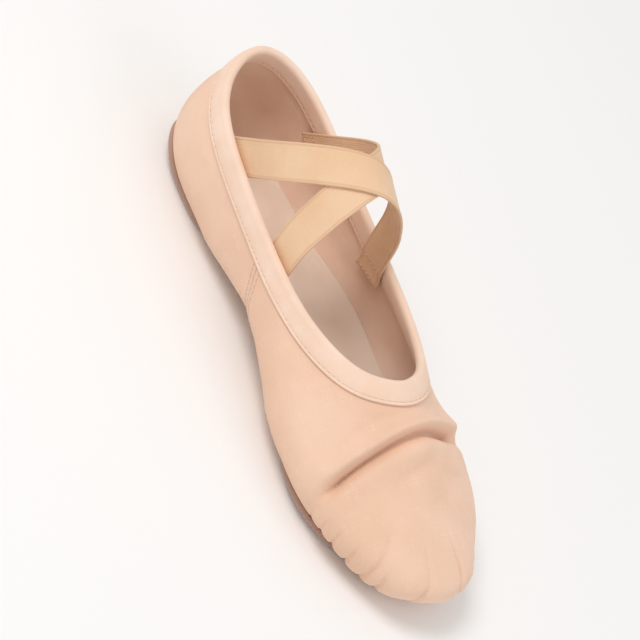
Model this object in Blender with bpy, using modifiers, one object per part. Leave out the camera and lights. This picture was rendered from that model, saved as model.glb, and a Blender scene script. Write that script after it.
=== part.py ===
"""A soft split-sole canvas ballet slipper, in the form that a foot gives it.

The toe points to -Y and +Z is up. The origin is on the floor, under the middle of the
slipper, which stands on two suede patches. One function, skin(), is the outer face of
the canvas, and every piece is worked out from it. Metres throughout.
"""

from collections import namedtuple

import bmesh
import bpy
import numpy as np
from mathutils import Vector
from mathutils.bvhtree import BVHTree

# Driving dimensions of the last
LENGTH = 0.232
BALL_WIDTH = 0.080
INSTEP = 0.0450
HEEL_HEIGHT = 0.0520
ARCH_LIFT = 0.0055
TOE_SPRING = 0.0030

# Materials and clearances
WALL = 0.0014
GAP = 0.0003
PATCH = 0.0020
INSOLE = 0.0020
BINDING = 0.0009
BINDING_WIDTH = 0.0080
LASTING_MARGIN = 0.0075
INSIDE_OPENING = 0.001

# Suede patches, with their places measured from the back of the heel
BALL_PATCH_RADIUS = 0.0345
BALL_PATCH_FROM_TOE = 0.0570
BALL_PATCH_CENTRE = LENGTH - BALL_PATCH_FROM_TOE
BALL_PATCH_BACK = 0.0285
BALL_PATCH_NOTCH = 0.0028
HEEL_PATCH_WIDTH = 0.0450
HEEL_PATCH_BACK = 0.0050
HEEL_PATCH_FRONT = 0.0600

# Elastics: two flat bands on one leaning oval tube, the form of the instep
STRAP_WIDTH = 0.0150
STRAP = 0.0011
CROSSING_HEIGHT = 0.0760
CROSSING_FROM_HEEL = 0.0830
INSTEP_TUBE_HALF = 0.0228
INSTEP_TUBE_RISE = 0.0360
INSTEP_TUBE_LEAN = np.radians(15.0)
STRAP_SLOPE = 0.45
SEAT_ABOVE_COLLAR = 0.008
SEAT_TOP = HEEL_HEIGHT + SEAT_ABOVE_COLLAR
SEAT_BLEND = 0.018
SEAT_RISE = 0.020
REAR_TAIL = 0.0245
FRONT_TAIL = 0.0085

# Gathers of the toe
PUFF = 0.0013
PUFF_REACH = 0.026
PLEAT_WIDTH = 0.0011
PLEAT_START = 0.0035
PLEAT_END = 0.008
GATHER_TOP_WAY = 2.50
GATHER_FADE = 0.35

FLOOR_TO_CANVAS = PATCH + GAP
HALF_LENGTH = LENGTH / 2
HALF_BALL = BALL_WIDTH / 2

# One row for each rib of the slipper, from the middle of the heel's back to the toe's tip.
# A rib starts at the keel, under the foot, runs flat, turns up to the widest line and
# goes on to the rim of the collar. keel, out and rim are shares of LENGTH from the back
# of the heel, half and rim_half are shares of half the ball's width, wide and crown are
# shares of INSTEP, rim_rise is a share of HEEL_HEIGHT, flat is the share of the way out
# that stays flat, pull is the share of the way in that the rim's own slope holds, lean
# is the rim's slope from upright in degrees, and sock is where the insole ends.
Rib = namedtuple("Rib", "keel out half wide rim rim_half rim_rise flat crown pull lean sock")
RIBS = (
    Rib(0.175, 0.000, 0.00, 0.40, 0.026, 0.00, 1.00, 0.60, 0.30, 0.30, 12, 1.35),
    Rib(0.180, 0.032, 0.42, 0.39, 0.052, 0.36, 0.95, 0.60, 0.28, 0.30, 10, 1.35),
    Rib(0.200, 0.125, 0.69, 0.37, 0.132, 0.62, 0.84, 0.60, 0.26, 0.32, 8, 1.40),
    Rib(0.270, 0.270, 0.73, 0.36, 0.268, 0.68, 0.765, 0.55, 0.24, 0.32, 6, 1.50),
    Rib(0.390, 0.405, 0.74, 0.34, 0.395, 0.69, 0.735, 0.48, 0.24, 0.32, 6, 1.55),
    Rib(0.500, 0.535, 0.84, 0.31, 0.498, 0.66, 0.735, 0.50, 0.24, 0.32, 14, 1.50),
    Rib(0.610, 0.665, 0.965, 0.29, 0.580, 0.56, 0.770, 0.57, 0.24, 0.34, 30, 1.40),
    Rib(0.695, 0.782, 0.965, 0.28, 0.632, 0.42, 0.815, 0.61, 0.24, 0.38, 48, 1.05),
    Rib(0.740, 0.884, 0.765, 0.27, 0.656, 0.27, 0.845, 0.62, 0.24, 0.42, 60, 0.84),
    Rib(0.752, 0.966, 0.445, 0.27, 0.667, 0.13, 0.862, 0.62, 0.24, 0.44, 66, 0.80),
    Rib(0.754, 1.000, 0.00, 0.27, 0.671, 0.00, 0.868, 0.62, 0.24, 0.45, 68, 0.80),
)
SIDEWAYS = ("half", "rim_half")
TOE = len(RIBS) - 1
ROUND = 2 * TOE

# One row for each pair of grooves between two gathers: their direction from the ball
# patch's middle, in degrees to either side of the toe's tip, how far the groove at -X and
# the one at +X run out past the patch, and how deep they are.
Pleat = namedtuple("Pleat", "side reach_left reach_right depth_left depth_right")
PLEATS = (
    Pleat(4.7, 0.020, 0.018, 0.0016, 0.0016),
    Pleat(14.0, 0.019, 0.020, 0.0015, 0.0015),
    Pleat(23.5, 0.018, 0.018, 0.0016, 0.0016),
    Pleat(33.0, 0.016, 0.016, 0.0015, 0.0014),
    Pleat(42.5, 0.015, 0.014, 0.0014, 0.0014),
    Pleat(52.5, 0.012, 0.012, 0.0013, 0.0012),
    Pleat(62.0, 0.010, 0.010, 0.0011, 0.0011),
    Pleat(71.5, 0.008, 0.008, 0.0008, 0.0008),
)


def along(share):
    """The Y of a place given as a share of the length from the back of the heel."""
    return HALF_LENGTH - share * LENGTH


def ease(share):
    """A soft step from 0 to 1."""
    share = np.clip(share, 0.0, 1.0)
    return share * share * (3.0 - 2.0 * share)


def closed_table(rows):
    """All the rows round the slipper: one side, and the other as its mirror image."""
    table = np.array(rows, dtype=float)
    mirror = table[-2:0:-1].copy()
    for name in SIDEWAYS:
        mirror[:, Rib._fields.index(name)] *= -1.0
    return np.vstack((table, mirror))


TABLE = closed_table(RIBS)
NEIGHBOURS = np.roll(np.eye(ROUND), 1, 0) + np.roll(np.eye(ROUND), -1, 0)
BENDS = np.linalg.solve(
    4.0 * np.eye(ROUND) + NEIGHBOURS,
    6.0 * (NEIGHBOURS @ TABLE - 2.0 * TABLE),
)


def rib_at(place):
    """The table read as a smooth closed curve: 0 is the heel's back, TOE the toe's tip."""
    low = np.floor(place).astype(int)
    part = (place - low)[..., None]
    low = low % ROUND
    high = (low + 1) % ROUND
    line = (1 - part) * TABLE[low] + part * TABLE[high]
    bend = (2 - part) * BENDS[low] + (1 + part) * BENDS[high]
    values = line - part * (1 - part) / 6.0 * bend
    return Rib(*np.moveaxis(values, -1, 0))


def ground(y):
    """The height of the canvas under the foot: flat at ball and heel, raised between."""
    share = (HALF_LENGTH - y) / LENGTH
    front = (BALL_PATCH_CENTRE - BALL_PATCH_BACK) / LENGTH
    back = HEEL_PATCH_FRONT / LENGTH
    arch = np.sin(np.pi * np.clip((share - back) / (front - back), 0.0, 1.0)) ** 2
    toe = (BALL_PATCH_CENTRE + BALL_PATCH_RADIUS) / LENGTH
    spring = np.clip((share - toe) / (1.0 - toe), 0.0, 1.2) ** 2
    return FLOOR_TO_CANVAS + ARCH_LIFT * arch + TOE_SPRING * spring


def bezier(points, part):
    """A cubic through four points, each an array of places."""
    rest = 1.0 - part
    weights = (rest ** 3, 3 * rest ** 2 * part, 3 * rest * part ** 2, part ** 3)
    return sum(weight[..., None] * point for weight, point in zip(weights, points))


def stack(x, y, z):
    return np.stack(np.broadcast_arrays(x, y, z), axis=-1)


def skin(place, way):
    """The outer face of the canvas, without gathers.

    place is the rib. way is 0 at the keel, 1 at the end of the flat, 2 at the widest
    line and 3 at the rim.
    """
    place, way = np.broadcast_arrays(np.asarray(place, float), np.asarray(way, float))
    rib = rib_at(place)
    keel_y = along(rib.keel)
    out = stack(rib.half * HALF_BALL, along(rib.out), 0.0)
    out[..., 2] = ground(out[..., 1]) + rib.wide * INSTEP
    rim = stack(rib.rim_half * HALF_BALL, along(rib.rim), rib.rim_rise * HEEL_HEIGHT)

    def flat_point(share):
        x = out[..., 0] * share
        y = keel_y + (out[..., 1] - keel_y) * share
        return stack(x, y, ground(y))

    flat_end = flat_point(rib.flat)
    corner = flat_point(rib.flat + (1.0 - rib.flat) * 0.60)
    below = out - stack(0.0, 0.0, 0.62 * (out[..., 2] - ground(out[..., 1])))
    above = out + stack(0.0, 0.0, rib.crown * INSTEP)
    inward = rim - out
    inward[..., 2] = 0.0
    inward /= np.linalg.norm(inward, axis=-1, keepdims=True) + 1e-9
    slope = np.radians(rib.lean)[..., None]
    reach = (rib.pull * np.linalg.norm(rim - out, axis=-1))[..., None]
    rise = np.cos(slope) * np.array((0.0, 0.0, 1.0))
    before = rim - reach * (np.sin(slope) * inward + rise)

    level = flat_point(rib.flat * np.clip(way, 0.0, 1.0))
    turn = bezier((flat_end, corner, below, out), np.clip(way - 1.0, 0.0, 1.0))
    side = bezier((out, above, before, rim), np.clip(way - 2.0, 0.0, 1.0))
    way = way[..., None]
    return np.where(way < 1.0, level, np.where(way < 2.0, turn, side))


def outward(place, way):
    """The direction out of the canvas."""
    place, way = np.broadcast_arrays(np.asarray(place, float), np.asarray(way, float))
    middle = np.clip(way, 0.05, 2.995)
    up = skin(place, middle + 0.004) - skin(place, middle - 0.004)
    round_ = skin(place + 0.004, middle) - skin(place - 0.004, middle)
    normal = np.cross(up, round_)
    return normal / np.linalg.norm(normal, axis=-1, keepdims=True)


def gather(place, way):
    """How far the toe's gathers push the canvas out, or its grooves pull it in."""
    point = skin(place, way)
    x = point[..., 0]
    y = point[..., 1] - (HALF_LENGTH - BALL_PATCH_CENTRE)
    beyond = np.hypot(x, y) - BALL_PATCH_RADIUS
    beyond = beyond + np.maximum(0.0, np.asarray(way) - 2.0) * 0.040
    side = np.degrees(np.arctan2(x, -y))
    edge = ease((80.0 - np.abs(side)) / 14.0)
    puff = PUFF * edge * ease((beyond - 0.001) / 0.005) * ease((PUFF_REACH - beyond) / 0.016)
    groove = np.zeros_like(puff)
    left = x < 0.0
    for pleat in PLEATS:
        turn = np.radians(np.abs(side) - pleat.side)
        aside = turn * (BALL_PATCH_RADIUS + np.maximum(beyond, 0.0))
        reach = np.where(left, pleat.reach_left, pleat.reach_right)
        depth = np.where(left, pleat.depth_left, pleat.depth_right)
        run = ease(beyond / PLEAT_START + 1.0) * ease((reach - beyond) / PLEAT_END)
        groove += depth * run * np.exp(-((aside / PLEAT_WIDTH) ** 2))
    fade = ease((GATHER_TOP_WAY - np.asarray(way)) / GATHER_FADE)
    return (puff - groove) * fade


def canvas(place, way):
    """The outer face of the canvas with its gathers."""
    push = gather(place, way)[..., None]
    return skin(place, way) + push * outward(place, way)


def from_rim(place, depth):
    """The way along each rib that lies this far below the rim."""
    ways = np.linspace(2.0, 3.0, 61)
    result = np.empty(len(place))
    for index, single in enumerate(place):
        points = skin(single, ways)
        steps = np.linalg.norm(np.diff(points, axis=0), axis=1)
        below = np.append(np.cumsum(steps[::-1])[::-1], 0.0)
        result[index] = np.interp(-depth, -below, ways)
    return result


def above_rim(place, height, push):
    """A place past the rim: on along the rib by height, and out of its face by push."""
    rim = skin(place, 3.0)
    rise = rim - skin(place, 2.98)
    rise /= np.linalg.norm(rise, axis=-1, keepdims=True)
    return rim + height * rise + push * outward(place, 3.0)


def spaced_places(count):
    """Ribs at even steps along the widest line, symmetric, with both middles."""
    fine = np.linspace(0.0, TOE, 801)
    line = skin(fine, 2.0)
    length = np.insert(np.cumsum(np.linalg.norm(np.diff(line, axis=0), axis=1)), 0, 0.0)
    half = np.interp(np.linspace(0.0, length[-1], count // 2 + 1), length, fine)
    return np.concatenate((half, (ROUND - half[-2:0:-1])))


def rib_places(count):
    """The ribs of the canvas, with three for each gather, and those of all other pieces."""
    fine = np.linspace(TOE - 3.2, TOE, 801)
    line = skin(fine, 1.2)
    middle = HALF_LENGTH - BALL_PATCH_CENTRE
    side = np.degrees(np.arctan2(line[:, 0], middle - line[:, 1]))
    sides = sorted([pleat.side for pleat in PLEATS] + [-pleat.side for pleat in PLEATS])
    wanted = [sides[0]]
    for low, high in zip(sides[:-1], sides[1:]):
        wanted += [low + (high - low) * 0.3, high - (high - low) * 0.3, high]
    wanted = np.array(wanted)
    away = TOE - np.interp(np.abs(wanted), side[::-1], fine[::-1])
    toe = TOE - np.sign(wanted) * away
    reach = away[0] + (away[0] - away[3])
    rest = [place for place in spaced_places(count) if abs(place - TOE) > reach]
    return np.sort(np.concatenate((rest, toe))), np.sort(np.concatenate((rest, toe[::3])))


def grid_faces(mesh, rows, closed):
    """Faces between neighbouring rows of vertices, once round if the rows are a ring."""
    pairs = list(zip(rows, rows[1:] + rows[:1])) if closed else list(zip(rows, rows[1:]))
    for first, second in pairs:
        for step in range(len(first) - 1):
            mesh.faces.new((first[step], second[step], second[step + 1], first[step + 1]))


def finished(name, mesh, collection, material=None):
    """An object made of a bmesh, with its normals set outward."""
    data = bpy.data.meshes.new(name)
    mesh.to_mesh(data)
    mesh.free()
    thing = bpy.data.objects.new(name, data)
    collection.objects.link(thing)
    if material:
        data.materials.append(material)
    return thing


def principled(name, colour, roughness):
    material = bpy.data.materials.new(name)
    material.use_nodes = True
    shader = material.node_tree.nodes["Principled BSDF"]
    shader.inputs["Base Color"].default_value = (*colour, 1.0)
    shader.inputs["Roughness"].default_value = roughness
    shader.inputs["Metallic"].default_value = 0.0
    return material


def ball_reach(x, y, inset):
    """How far the ball patch goes from its middle: a circle, cut behind, with a notch."""
    reach = BALL_PATCH_RADIUS - inset
    if y <= 0.0:
        return reach
    back = BALL_PATCH_BACK - inset - BALL_PATCH_NOTCH * ease(1.0 - abs(x / y) / 0.55)
    return (reach ** -12 + (back / y) ** -12) ** (-1 / 12)


def heel_reach(x, y, inset):
    """How far the heel patch goes from its middle: round behind, squarer in front."""
    half = HEEL_PATCH_WIDTH / 2 - inset
    deep = (HEEL_PATCH_FRONT - HEEL_PATCH_BACK) / 2 - inset
    power = 4.5 if y < 0.0 else 2.3
    return (abs(x / half) ** power + abs(y / deep) ** power) ** (-1 / power)


# The two suede patches: the Y of the middle, the reach of the outline and its corners
Sole = namedtuple("Sole", "name middle reach corners")
SOLES = (
    Sole("ball_patch", HALF_LENGTH - BALL_PATCH_CENTRE, ball_reach, 60),
    Sole("heel_patch", HALF_LENGTH - (HEEL_PATCH_BACK + HEEL_PATCH_FRONT) / 2, heel_reach, 48),
)


def outline_of(sole, inset=0.0):
    """The outline of a patch in plan, or of the opening behind it."""
    outline = []
    for angle in (np.arange(sole.corners) + 0.5) * 2 * np.pi / sole.corners:
        x = np.sin(angle)
        y = -np.cos(angle)
        reach = sole.reach(x, y, inset)
        outline.append((reach * x, sole.middle + reach * y))
    return outline


def in_opening(sole, point):
    """Whether a point of the canvas lies well inside the opening behind a patch."""
    y = point.y - sole.middle
    far = float(np.hypot(point.x, y))
    if far < INSIDE_OPENING:
        return True
    edge = sole.reach(point.x / far, y / far, LASTING_MARGIN)
    return point.z < 2 * FLOOR_TO_CANVAS and far < edge - INSIDE_OPENING


def guide_tree(place, ways, push=0.0):
    """A search tree of the skin, moved out by push, for seating other pieces on it."""
    points = skin(place[:, None], ways[None, :])
    points = points + push * outward(place[:, None], ways[None, :])
    count = len(ways)
    corners = [Vector(point) for point in points.reshape(-1, 3)]
    faces = []
    for row in range(len(place)):
        after = (row + 1) % len(place)
        for step in range(count - 1):
            first = row * count + step
            second = after * count + step
            faces.append((first, second, second + 1, first + 1))
    return BVHTree.FromPolygons(corners, faces)


def make_upper(places, collections, material):
    """The canvas shell: an open surface with Solidify, open at the collar and the sole."""
    low = from_rim(places, BINDING_WIDTH)
    foot = [0.0, 0.5, 0.88, 1.0, 1.2, 1.4, 1.6, 1.8, 2.0]
    side = [2.0 + (low - 2.0) * share for share in (0.16, 0.38, 0.68, 1.0)]
    hem = [from_rim(places, BINDING_WIDTH / 2), 3.0]
    ways = np.stack([np.broadcast_to(way, places.shape) for way in foot + side + hem], axis=1)
    points = canvas(places[:, None], ways)
    mesh = bmesh.new()
    rows = [[mesh.verts.new(point) for point in row] for row in points]
    grid_faces(mesh, rows, closed=True)
    bmesh.ops.remove_doubles(mesh, verts=mesh.verts, dist=0.000001)
    for sole in SOLES:
        spare = [face for face in mesh.faces if all(in_opening(sole, v.co) for v in face.verts)]
        bmesh.ops.delete(mesh, geom=spare, context="FACES")
    bmesh.ops.recalc_face_normals(mesh, faces=mesh.faces)
    upper = finished("upper", mesh, collections["parts"], material)
    wall = upper.modifiers.new("canvas wall", "SOLIDIFY")
    wall.thickness = WALL
    wall.offset = -1.0
    for sole in SOLES:
        outline = outline_of(sole, LASTING_MARGIN)
        top = FLOOR_TO_CANVAS + 4 * WALL
        cutter = prism(f"opening_over_{sole.name}", outline, -PATCH, top, collections["cutters"])
        cut = upper.modifiers.new(cutter.name, "BOOLEAN")
        cut.operation = "DIFFERENCE"
        cut.solver = "EXACT"
        cut.object = cutter
    upper.data.shade_smooth()
    return upper


def prism(name, outline, low, high, collection):
    """A cutter: an outline raised from low to high."""
    mesh = bmesh.new()
    base = mesh.faces.new([mesh.verts.new((x, y, low)) for x, y in outline])
    raised = bmesh.ops.extrude_face_region(mesh, geom=[base])
    top = [item for item in raised["geom"] if isinstance(item, bmesh.types.BMVert)]
    bmesh.ops.translate(mesh, verts=top, vec=(0.0, 0.0, high - low))
    bmesh.ops.recalc_face_normals(mesh, faces=mesh.faces)
    cutter = finished(name, mesh, collection)
    cutter.hide_render = True
    cutter.display_type = "WIRE"
    return cutter


def make_patch(sole, tree, collection, material):
    """A suede patch: its outline filled with rings, laid under the canvas."""
    rings = (0.5, 0.72, 0.84, 0.93, 1.0)
    mesh = bmesh.new()
    layers = []
    for depth in (GAP, GAP + PATCH):
        layer = []
        for share in rings:
            ring = []
            for x, y in outline_of(sole):
                start = Vector((x * share, sole.middle + (y - sole.middle) * share, -0.05))
                place, normal, _, _ = tree.ray_cast(start, Vector((0.0, 0.0, 1.0)))
                down = normal if normal.z < 0.0 else -normal
                ring.append(mesh.verts.new(place + depth * down))
            layer.append(ring)
        layers.append(layer)
    top, bottom = layers
    for layer in layers:
        grid_faces(mesh, [list(column) for column in zip(*layer)], closed=True)
        mesh.faces.new(layer[0])
    grid_faces(mesh, [list(pair) for pair in zip(top[-1], bottom[-1])], closed=True)
    bmesh.ops.recalc_face_normals(mesh, faces=mesh.faces)
    return finished(sole.name, mesh, collection, material)


def make_insole(places, collection, material):
    """The sock over the sole: two layers of the skin, moved in by the wall and a gap."""
    shares = np.array((0.0, 0.6, 0.85, 1.0))
    ends = rib_at(places).sock
    ways = ends[:, None] * shares[None, :]
    mesh = bmesh.new()
    edges = []
    for depth in (WALL + GAP, WALL + GAP + INSOLE):
        points = skin(places[:, None], ways) - depth * outward(places[:, None], ways)
        points[:, 0, 0] = 0.0
        rows = [[mesh.verts.new(point) for point in row] for row in points]
        grid_faces(mesh, rows, closed=True)
        edges.append([row[-1] for row in rows])
    grid_faces(mesh, [list(pair) for pair in zip(*edges)], closed=True)
    bmesh.ops.remove_doubles(mesh, verts=mesh.verts, dist=0.000001)
    bmesh.ops.recalc_face_normals(mesh, faces=mesh.faces)
    return finished("insole", mesh, collection, material)


def make_binding(places, collection, material):
    """The tape folded over the rim: one closed section, carried round the collar."""
    outer = GAP
    inner = -WALL - GAP
    low = from_rim(places, BINDING_WIDTH)
    mid = from_rim(places, BINDING_WIDTH / 2)
    half = (outer - inner) / 2 + BINDING
    centre = (outer + inner) / 2

    def beside(way, push):
        return skin(places, way) + push * outward(places, way)

    section = [beside(low, outer), beside(low, outer + BINDING), beside(mid, outer + BINDING * 1.2)]
    for turn in np.radians((0.0, 60.0, 120.0, 180.0)):
        section.append(above_rim(places, half * np.sin(turn), centre + half * np.cos(turn)))
    section += [beside(mid, inner - BINDING), beside(low, inner - BINDING), beside(low, inner)]
    section += [beside(mid, inner), above_rim(places, GAP, inner)]
    section += [above_rim(places, GAP, outer), beside(mid, outer)]
    mesh = bmesh.new()
    rings = [[mesh.verts.new(line[index]) for line in section] for index in range(len(places))]
    grid_faces(mesh, [ring + ring[:1] for ring in rings], closed=True)
    bmesh.ops.recalc_face_normals(mesh, faces=mesh.faces)
    return finished("collar_binding", mesh, collection, material)


def oval_length():
    """The way round the instep tube, from its top, against the angle from its top."""
    angles = np.linspace(0.0, np.pi / 2, 400)
    x = INSTEP_TUBE_HALF * np.sin(angles)
    z = INSTEP_TUBE_RISE * np.cos(angles)
    return angles, np.insert(np.cumsum(np.hypot(np.diff(x), np.diff(z))), 0, 0.0)


def on_instep(around, down, push):
    """A place on the instep tube: around it from its top, down towards the toe, and out."""
    angles, lengths = oval_length()
    quarter = lengths[-1]
    angle = np.interp(min(abs(around), quarter), lengths, angles)
    leg = max(0.0, abs(around) - quarter)
    side = 1.0 if around >= 0.0 else -1.0
    across = np.array((np.sin(angle) / INSTEP_TUBE_HALF, np.cos(angle) / INSTEP_TUBE_RISE))
    across /= np.linalg.norm(across)
    flat = side * (INSTEP_TUBE_HALF * np.sin(angle) + push * across[0])
    high = INSTEP_TUBE_RISE * np.cos(angle) + push * across[1] - leg
    lean = INSTEP_TUBE_LEAN
    top = np.array((0.0, -np.sin(lean), np.cos(lean)))
    slope = np.array((0.0, -np.cos(lean), -np.sin(lean)))
    crossing = np.array((0.0, HALF_LENGTH - CROSSING_FROM_HEEL, CROSSING_HEIGHT))
    return crossing + (high - INSTEP_TUBE_RISE) * top + down * slope + np.array((flat, 0.0, 0.0))


def make_strap(name, hand, layer, tree, collection, material):
    """One elastic: straight on the unrolled tube, its ends laid inside the collar.

    hand is 1 for the band whose front end is at +X. layer is how far out it lies.
    """
    quarter = oval_length()[1][-1]
    length = np.hypot(1.0, STRAP_SLOPE)
    rear = -(quarter + REAR_TAIL)
    front = quarter + FRONT_TAIL
    steps = np.linspace(rear, front, 34)
    widths = np.linspace(-STRAP_WIDTH / 2, STRAP_WIDTH / 2, 3)
    mesh = bmesh.new()
    sheets = []
    for face in (0.0, STRAP):
        sheet = []
        for step in steps:
            line = []
            for width in widths:
                around = step - width * STRAP_SLOPE / length
                down = step * STRAP_SLOPE + width / length
                bare = on_instep(around, down, layer + face)
                line.append(mesh.verts.new(seated(bare, STRAP - face, tree, hand)))
            sheet.append(line)
        sheets.append(sheet)
    for sheet in sheets:
        grid_faces(mesh, sheet, closed=False)
    inner, outer = sheets
    loops = []
    for sheet in sheets:
        loop = sheet[0] + [line[-1] for line in sheet[1:]]
        loop += sheet[-1][-2::-1] + [line[0] for line in sheet[-2:0:-1]]
        loops.append(loop)
    grid_faces(mesh, [list(pair) for pair in zip(*loops)], closed=True)
    bmesh.ops.recalc_face_normals(mesh, faces=mesh.faces)
    return finished(name, mesh, collection, material)


def seated(point, depth, tree, hand):
    """Moves a strap's point onto the inside of the collar, the more the lower it lies."""
    x, y, z = point
    blend = float(ease((SEAT_TOP - z) / SEAT_BLEND))
    if blend > 0.0:
        side = 1.0 if x > 0.0 else -1.0
        hit = tree.ray_cast(Vector((0.0, y, min(z, SEAT_TOP))), Vector((side, 0.0, 0.0)))[0]
        if hit is not None:
            x = (1.0 - blend) * x + blend * (hit.x - side * depth)
    return Vector((hand * x, y, z))


def collar_tree(places):
    """The face that the strap's ends lie on: the inside of the binding, carried on up."""
    push = -(WALL + GAP + BINDING + 1.6 * GAP)
    ways = np.linspace(2.0, 3.0, 9)
    points = [skin(places, way) + push * outward(places, way) for way in ways]
    points += [above_rim(places, height, push) for height in (0.3 * SEAT_RISE, SEAT_RISE)]
    count = len(places)
    corners = [Vector(point) for ring in points for point in ring]
    faces = []
    for ring in range(len(points) - 1):
        for index in range(count):
            after = (index + 1) % count
            low = ring * count
            high = low + count
            faces.append((low + index, low + after, high + after, high + index))
    return BVHTree.FromPolygons(corners, faces)


def build():
    for thing in list(bpy.data.objects):
        bpy.data.objects.remove(thing, do_unlink=True)
    collections = {}
    for key, name in (("parts", "split_sole_ballet_slipper"), ("cutters", "cutters")):
        collections[key] = bpy.data.collections.new(name)
        bpy.context.scene.collection.children.link(collections[key])
    parts = collections["parts"]
    canvas_cloth = principled("canvas", (0.89, 0.62, 0.46), 0.85)
    tape_cloth = principled("binding tape", (0.91, 0.67, 0.51), 0.8)
    suede = principled("suede", (0.70, 0.51, 0.42), 0.95)
    sock_cloth = principled("sock lining", (0.86, 0.74, 0.66), 0.9)
    elastic = principled("elastic", (0.84, 0.57, 0.38), 0.7)

    gathered, even = rib_places(78)
    make_upper(gathered, collections, canvas_cloth)
    under = guide_tree(even, np.linspace(0.0, 2.0, 25))
    for sole in SOLES:
        make_patch(sole, under, parts, suede)
    make_insole(even, parts, sock_cloth)
    make_binding(even, parts, tape_cloth)
    collar = collar_tree(even)
    make_strap("elastic_strap_under", -1, 0.0, collar, parts, elastic)
    make_strap("elastic_strap_over", 1, STRAP + GAP, collar, parts, elastic)


build()
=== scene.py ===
# %% [markdown]
# # A split-sole canvas ballet slipper
#
# This lesson dresses a packed model of one soft ballet slipper. The model already has the
# right pieces at their real size: a canvas upper, a folded binding round its collar, two
# suede patches under it, a sock inside and two elastics that cross over the instep. Here
# each of them becomes a fine mesh with its own cloth or leather.
#
# The frame comes first. Everything below is in metres, the toe points to -Y, and the
# slipper stands at Z = 0.

import math
from collections import namedtuple

import bmesh
import bpy
import numpy as np
from mathutils import Matrix, Vector
from mathutils.bvhtree import BVHTree


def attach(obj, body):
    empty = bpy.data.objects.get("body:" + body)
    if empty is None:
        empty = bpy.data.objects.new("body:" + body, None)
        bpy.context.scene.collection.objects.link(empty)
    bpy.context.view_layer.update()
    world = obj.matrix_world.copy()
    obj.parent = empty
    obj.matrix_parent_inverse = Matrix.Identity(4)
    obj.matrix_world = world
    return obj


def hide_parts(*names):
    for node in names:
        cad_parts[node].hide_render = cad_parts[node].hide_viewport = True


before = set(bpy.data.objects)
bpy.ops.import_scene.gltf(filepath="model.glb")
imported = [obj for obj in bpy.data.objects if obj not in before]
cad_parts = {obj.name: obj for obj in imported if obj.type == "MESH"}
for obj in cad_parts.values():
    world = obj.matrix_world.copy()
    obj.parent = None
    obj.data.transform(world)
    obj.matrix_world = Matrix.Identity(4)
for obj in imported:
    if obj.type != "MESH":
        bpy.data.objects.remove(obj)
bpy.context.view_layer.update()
print("nodes:", sorted(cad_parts))

# %% [markdown]
# ## The sizes of the slipper
#
# A shoemaker works from a last, so the sizes of the last come first, then the thickness of
# each material, then the two patches. The solids were made with the same sizes.

# %% Sizes in metres
LENGTH = 0.232
BALL_WIDTH = 0.080
INSTEP = 0.0450
HEEL_HEIGHT = 0.0520
ARCH_LIFT = 0.0055
TOE_SPRING = 0.0030
HALF_LENGTH = LENGTH / 2
HALF_BALL = BALL_WIDTH / 2

WALL = 0.0014
GAP = 0.0003
PATCH = 0.0020
INSOLE = 0.0020
BINDING = 0.0009
BINDING_WIDTH = 0.0080
LASTING_MARGIN = 0.0075
FLOOR_TO_CANVAS = PATCH + GAP

BALL_PATCH_RADIUS = 0.0345
BALL_PATCH_CENTRE = 0.1750
BALL_PATCH_BACK = 0.0285
BALL_PATCH_NOTCH = 0.0028
HEEL_PATCH_WIDTH = 0.0450
HEEL_PATCH_BACK = 0.0050
HEEL_PATCH_FRONT = 0.0600
BALL_MIDDLE_Y = HALF_LENGTH - BALL_PATCH_CENTRE
HEEL_MIDDLE_Y = HALF_LENGTH - (HEEL_PATCH_BACK + HEEL_PATCH_FRONT) / 2
print(f"a slipper {LENGTH * 1000:.0f} mm long and {BALL_WIDTH * 1000:.0f} mm wide")

# %% [markdown]
# ## The form of the last
#
# A slipper's upper is one skin stretched over a foot. It could be sculpted, but a designer
# describes it by ribs, as a boat is: each rib starts at the keel under the foot, runs out
# flat, turns up to the widest line and goes on to the rim. At the toe and the heel the ribs
# fan out, so the gathers of the toe lie along them. A short table holds the ribs, and a
# smooth curve through its rows gives all the ribs between them.

# %% The ribs
# keel, out and rim are shares of the length from the heel's back, half and rim_half shares
# of half the ball's width, and wide and rim_rise shares of the instep and the heel's height.
# flat is where the flat ends, crown and pull shape the side, lean is its slope at the rim in
# degrees, and sock is how far up the rib the sock goes.
Rib = namedtuple("Rib", "keel out half wide rim rim_half rim_rise flat crown pull lean sock")
RIBS = (
    Rib(0.175, 0.000, 0.00, 0.40, 0.026, 0.00, 1.00, 0.60, 0.30, 0.30, 12, 1.35),
    Rib(0.180, 0.032, 0.42, 0.39, 0.052, 0.36, 0.95, 0.60, 0.28, 0.30, 10, 1.35),
    Rib(0.200, 0.125, 0.69, 0.37, 0.132, 0.62, 0.84, 0.60, 0.26, 0.32, 8, 1.40),
    Rib(0.270, 0.270, 0.73, 0.36, 0.268, 0.68, 0.765, 0.55, 0.24, 0.32, 6, 1.50),
    Rib(0.390, 0.405, 0.74, 0.34, 0.395, 0.69, 0.735, 0.48, 0.24, 0.32, 6, 1.55),
    Rib(0.500, 0.535, 0.84, 0.31, 0.498, 0.66, 0.735, 0.50, 0.24, 0.32, 14, 1.50),
    Rib(0.610, 0.665, 0.965, 0.29, 0.580, 0.56, 0.770, 0.57, 0.24, 0.34, 30, 1.40),
    Rib(0.695, 0.782, 0.965, 0.28, 0.632, 0.42, 0.815, 0.61, 0.24, 0.38, 48, 1.05),
    Rib(0.740, 0.884, 0.765, 0.27, 0.656, 0.27, 0.845, 0.62, 0.24, 0.42, 60, 0.84),
    Rib(0.752, 0.966, 0.445, 0.27, 0.667, 0.13, 0.862, 0.62, 0.24, 0.44, 66, 0.80),
    Rib(0.754, 1.000, 0.00, 0.27, 0.671, 0.00, 0.868, 0.62, 0.24, 0.45, 68, 0.80),
)
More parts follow.
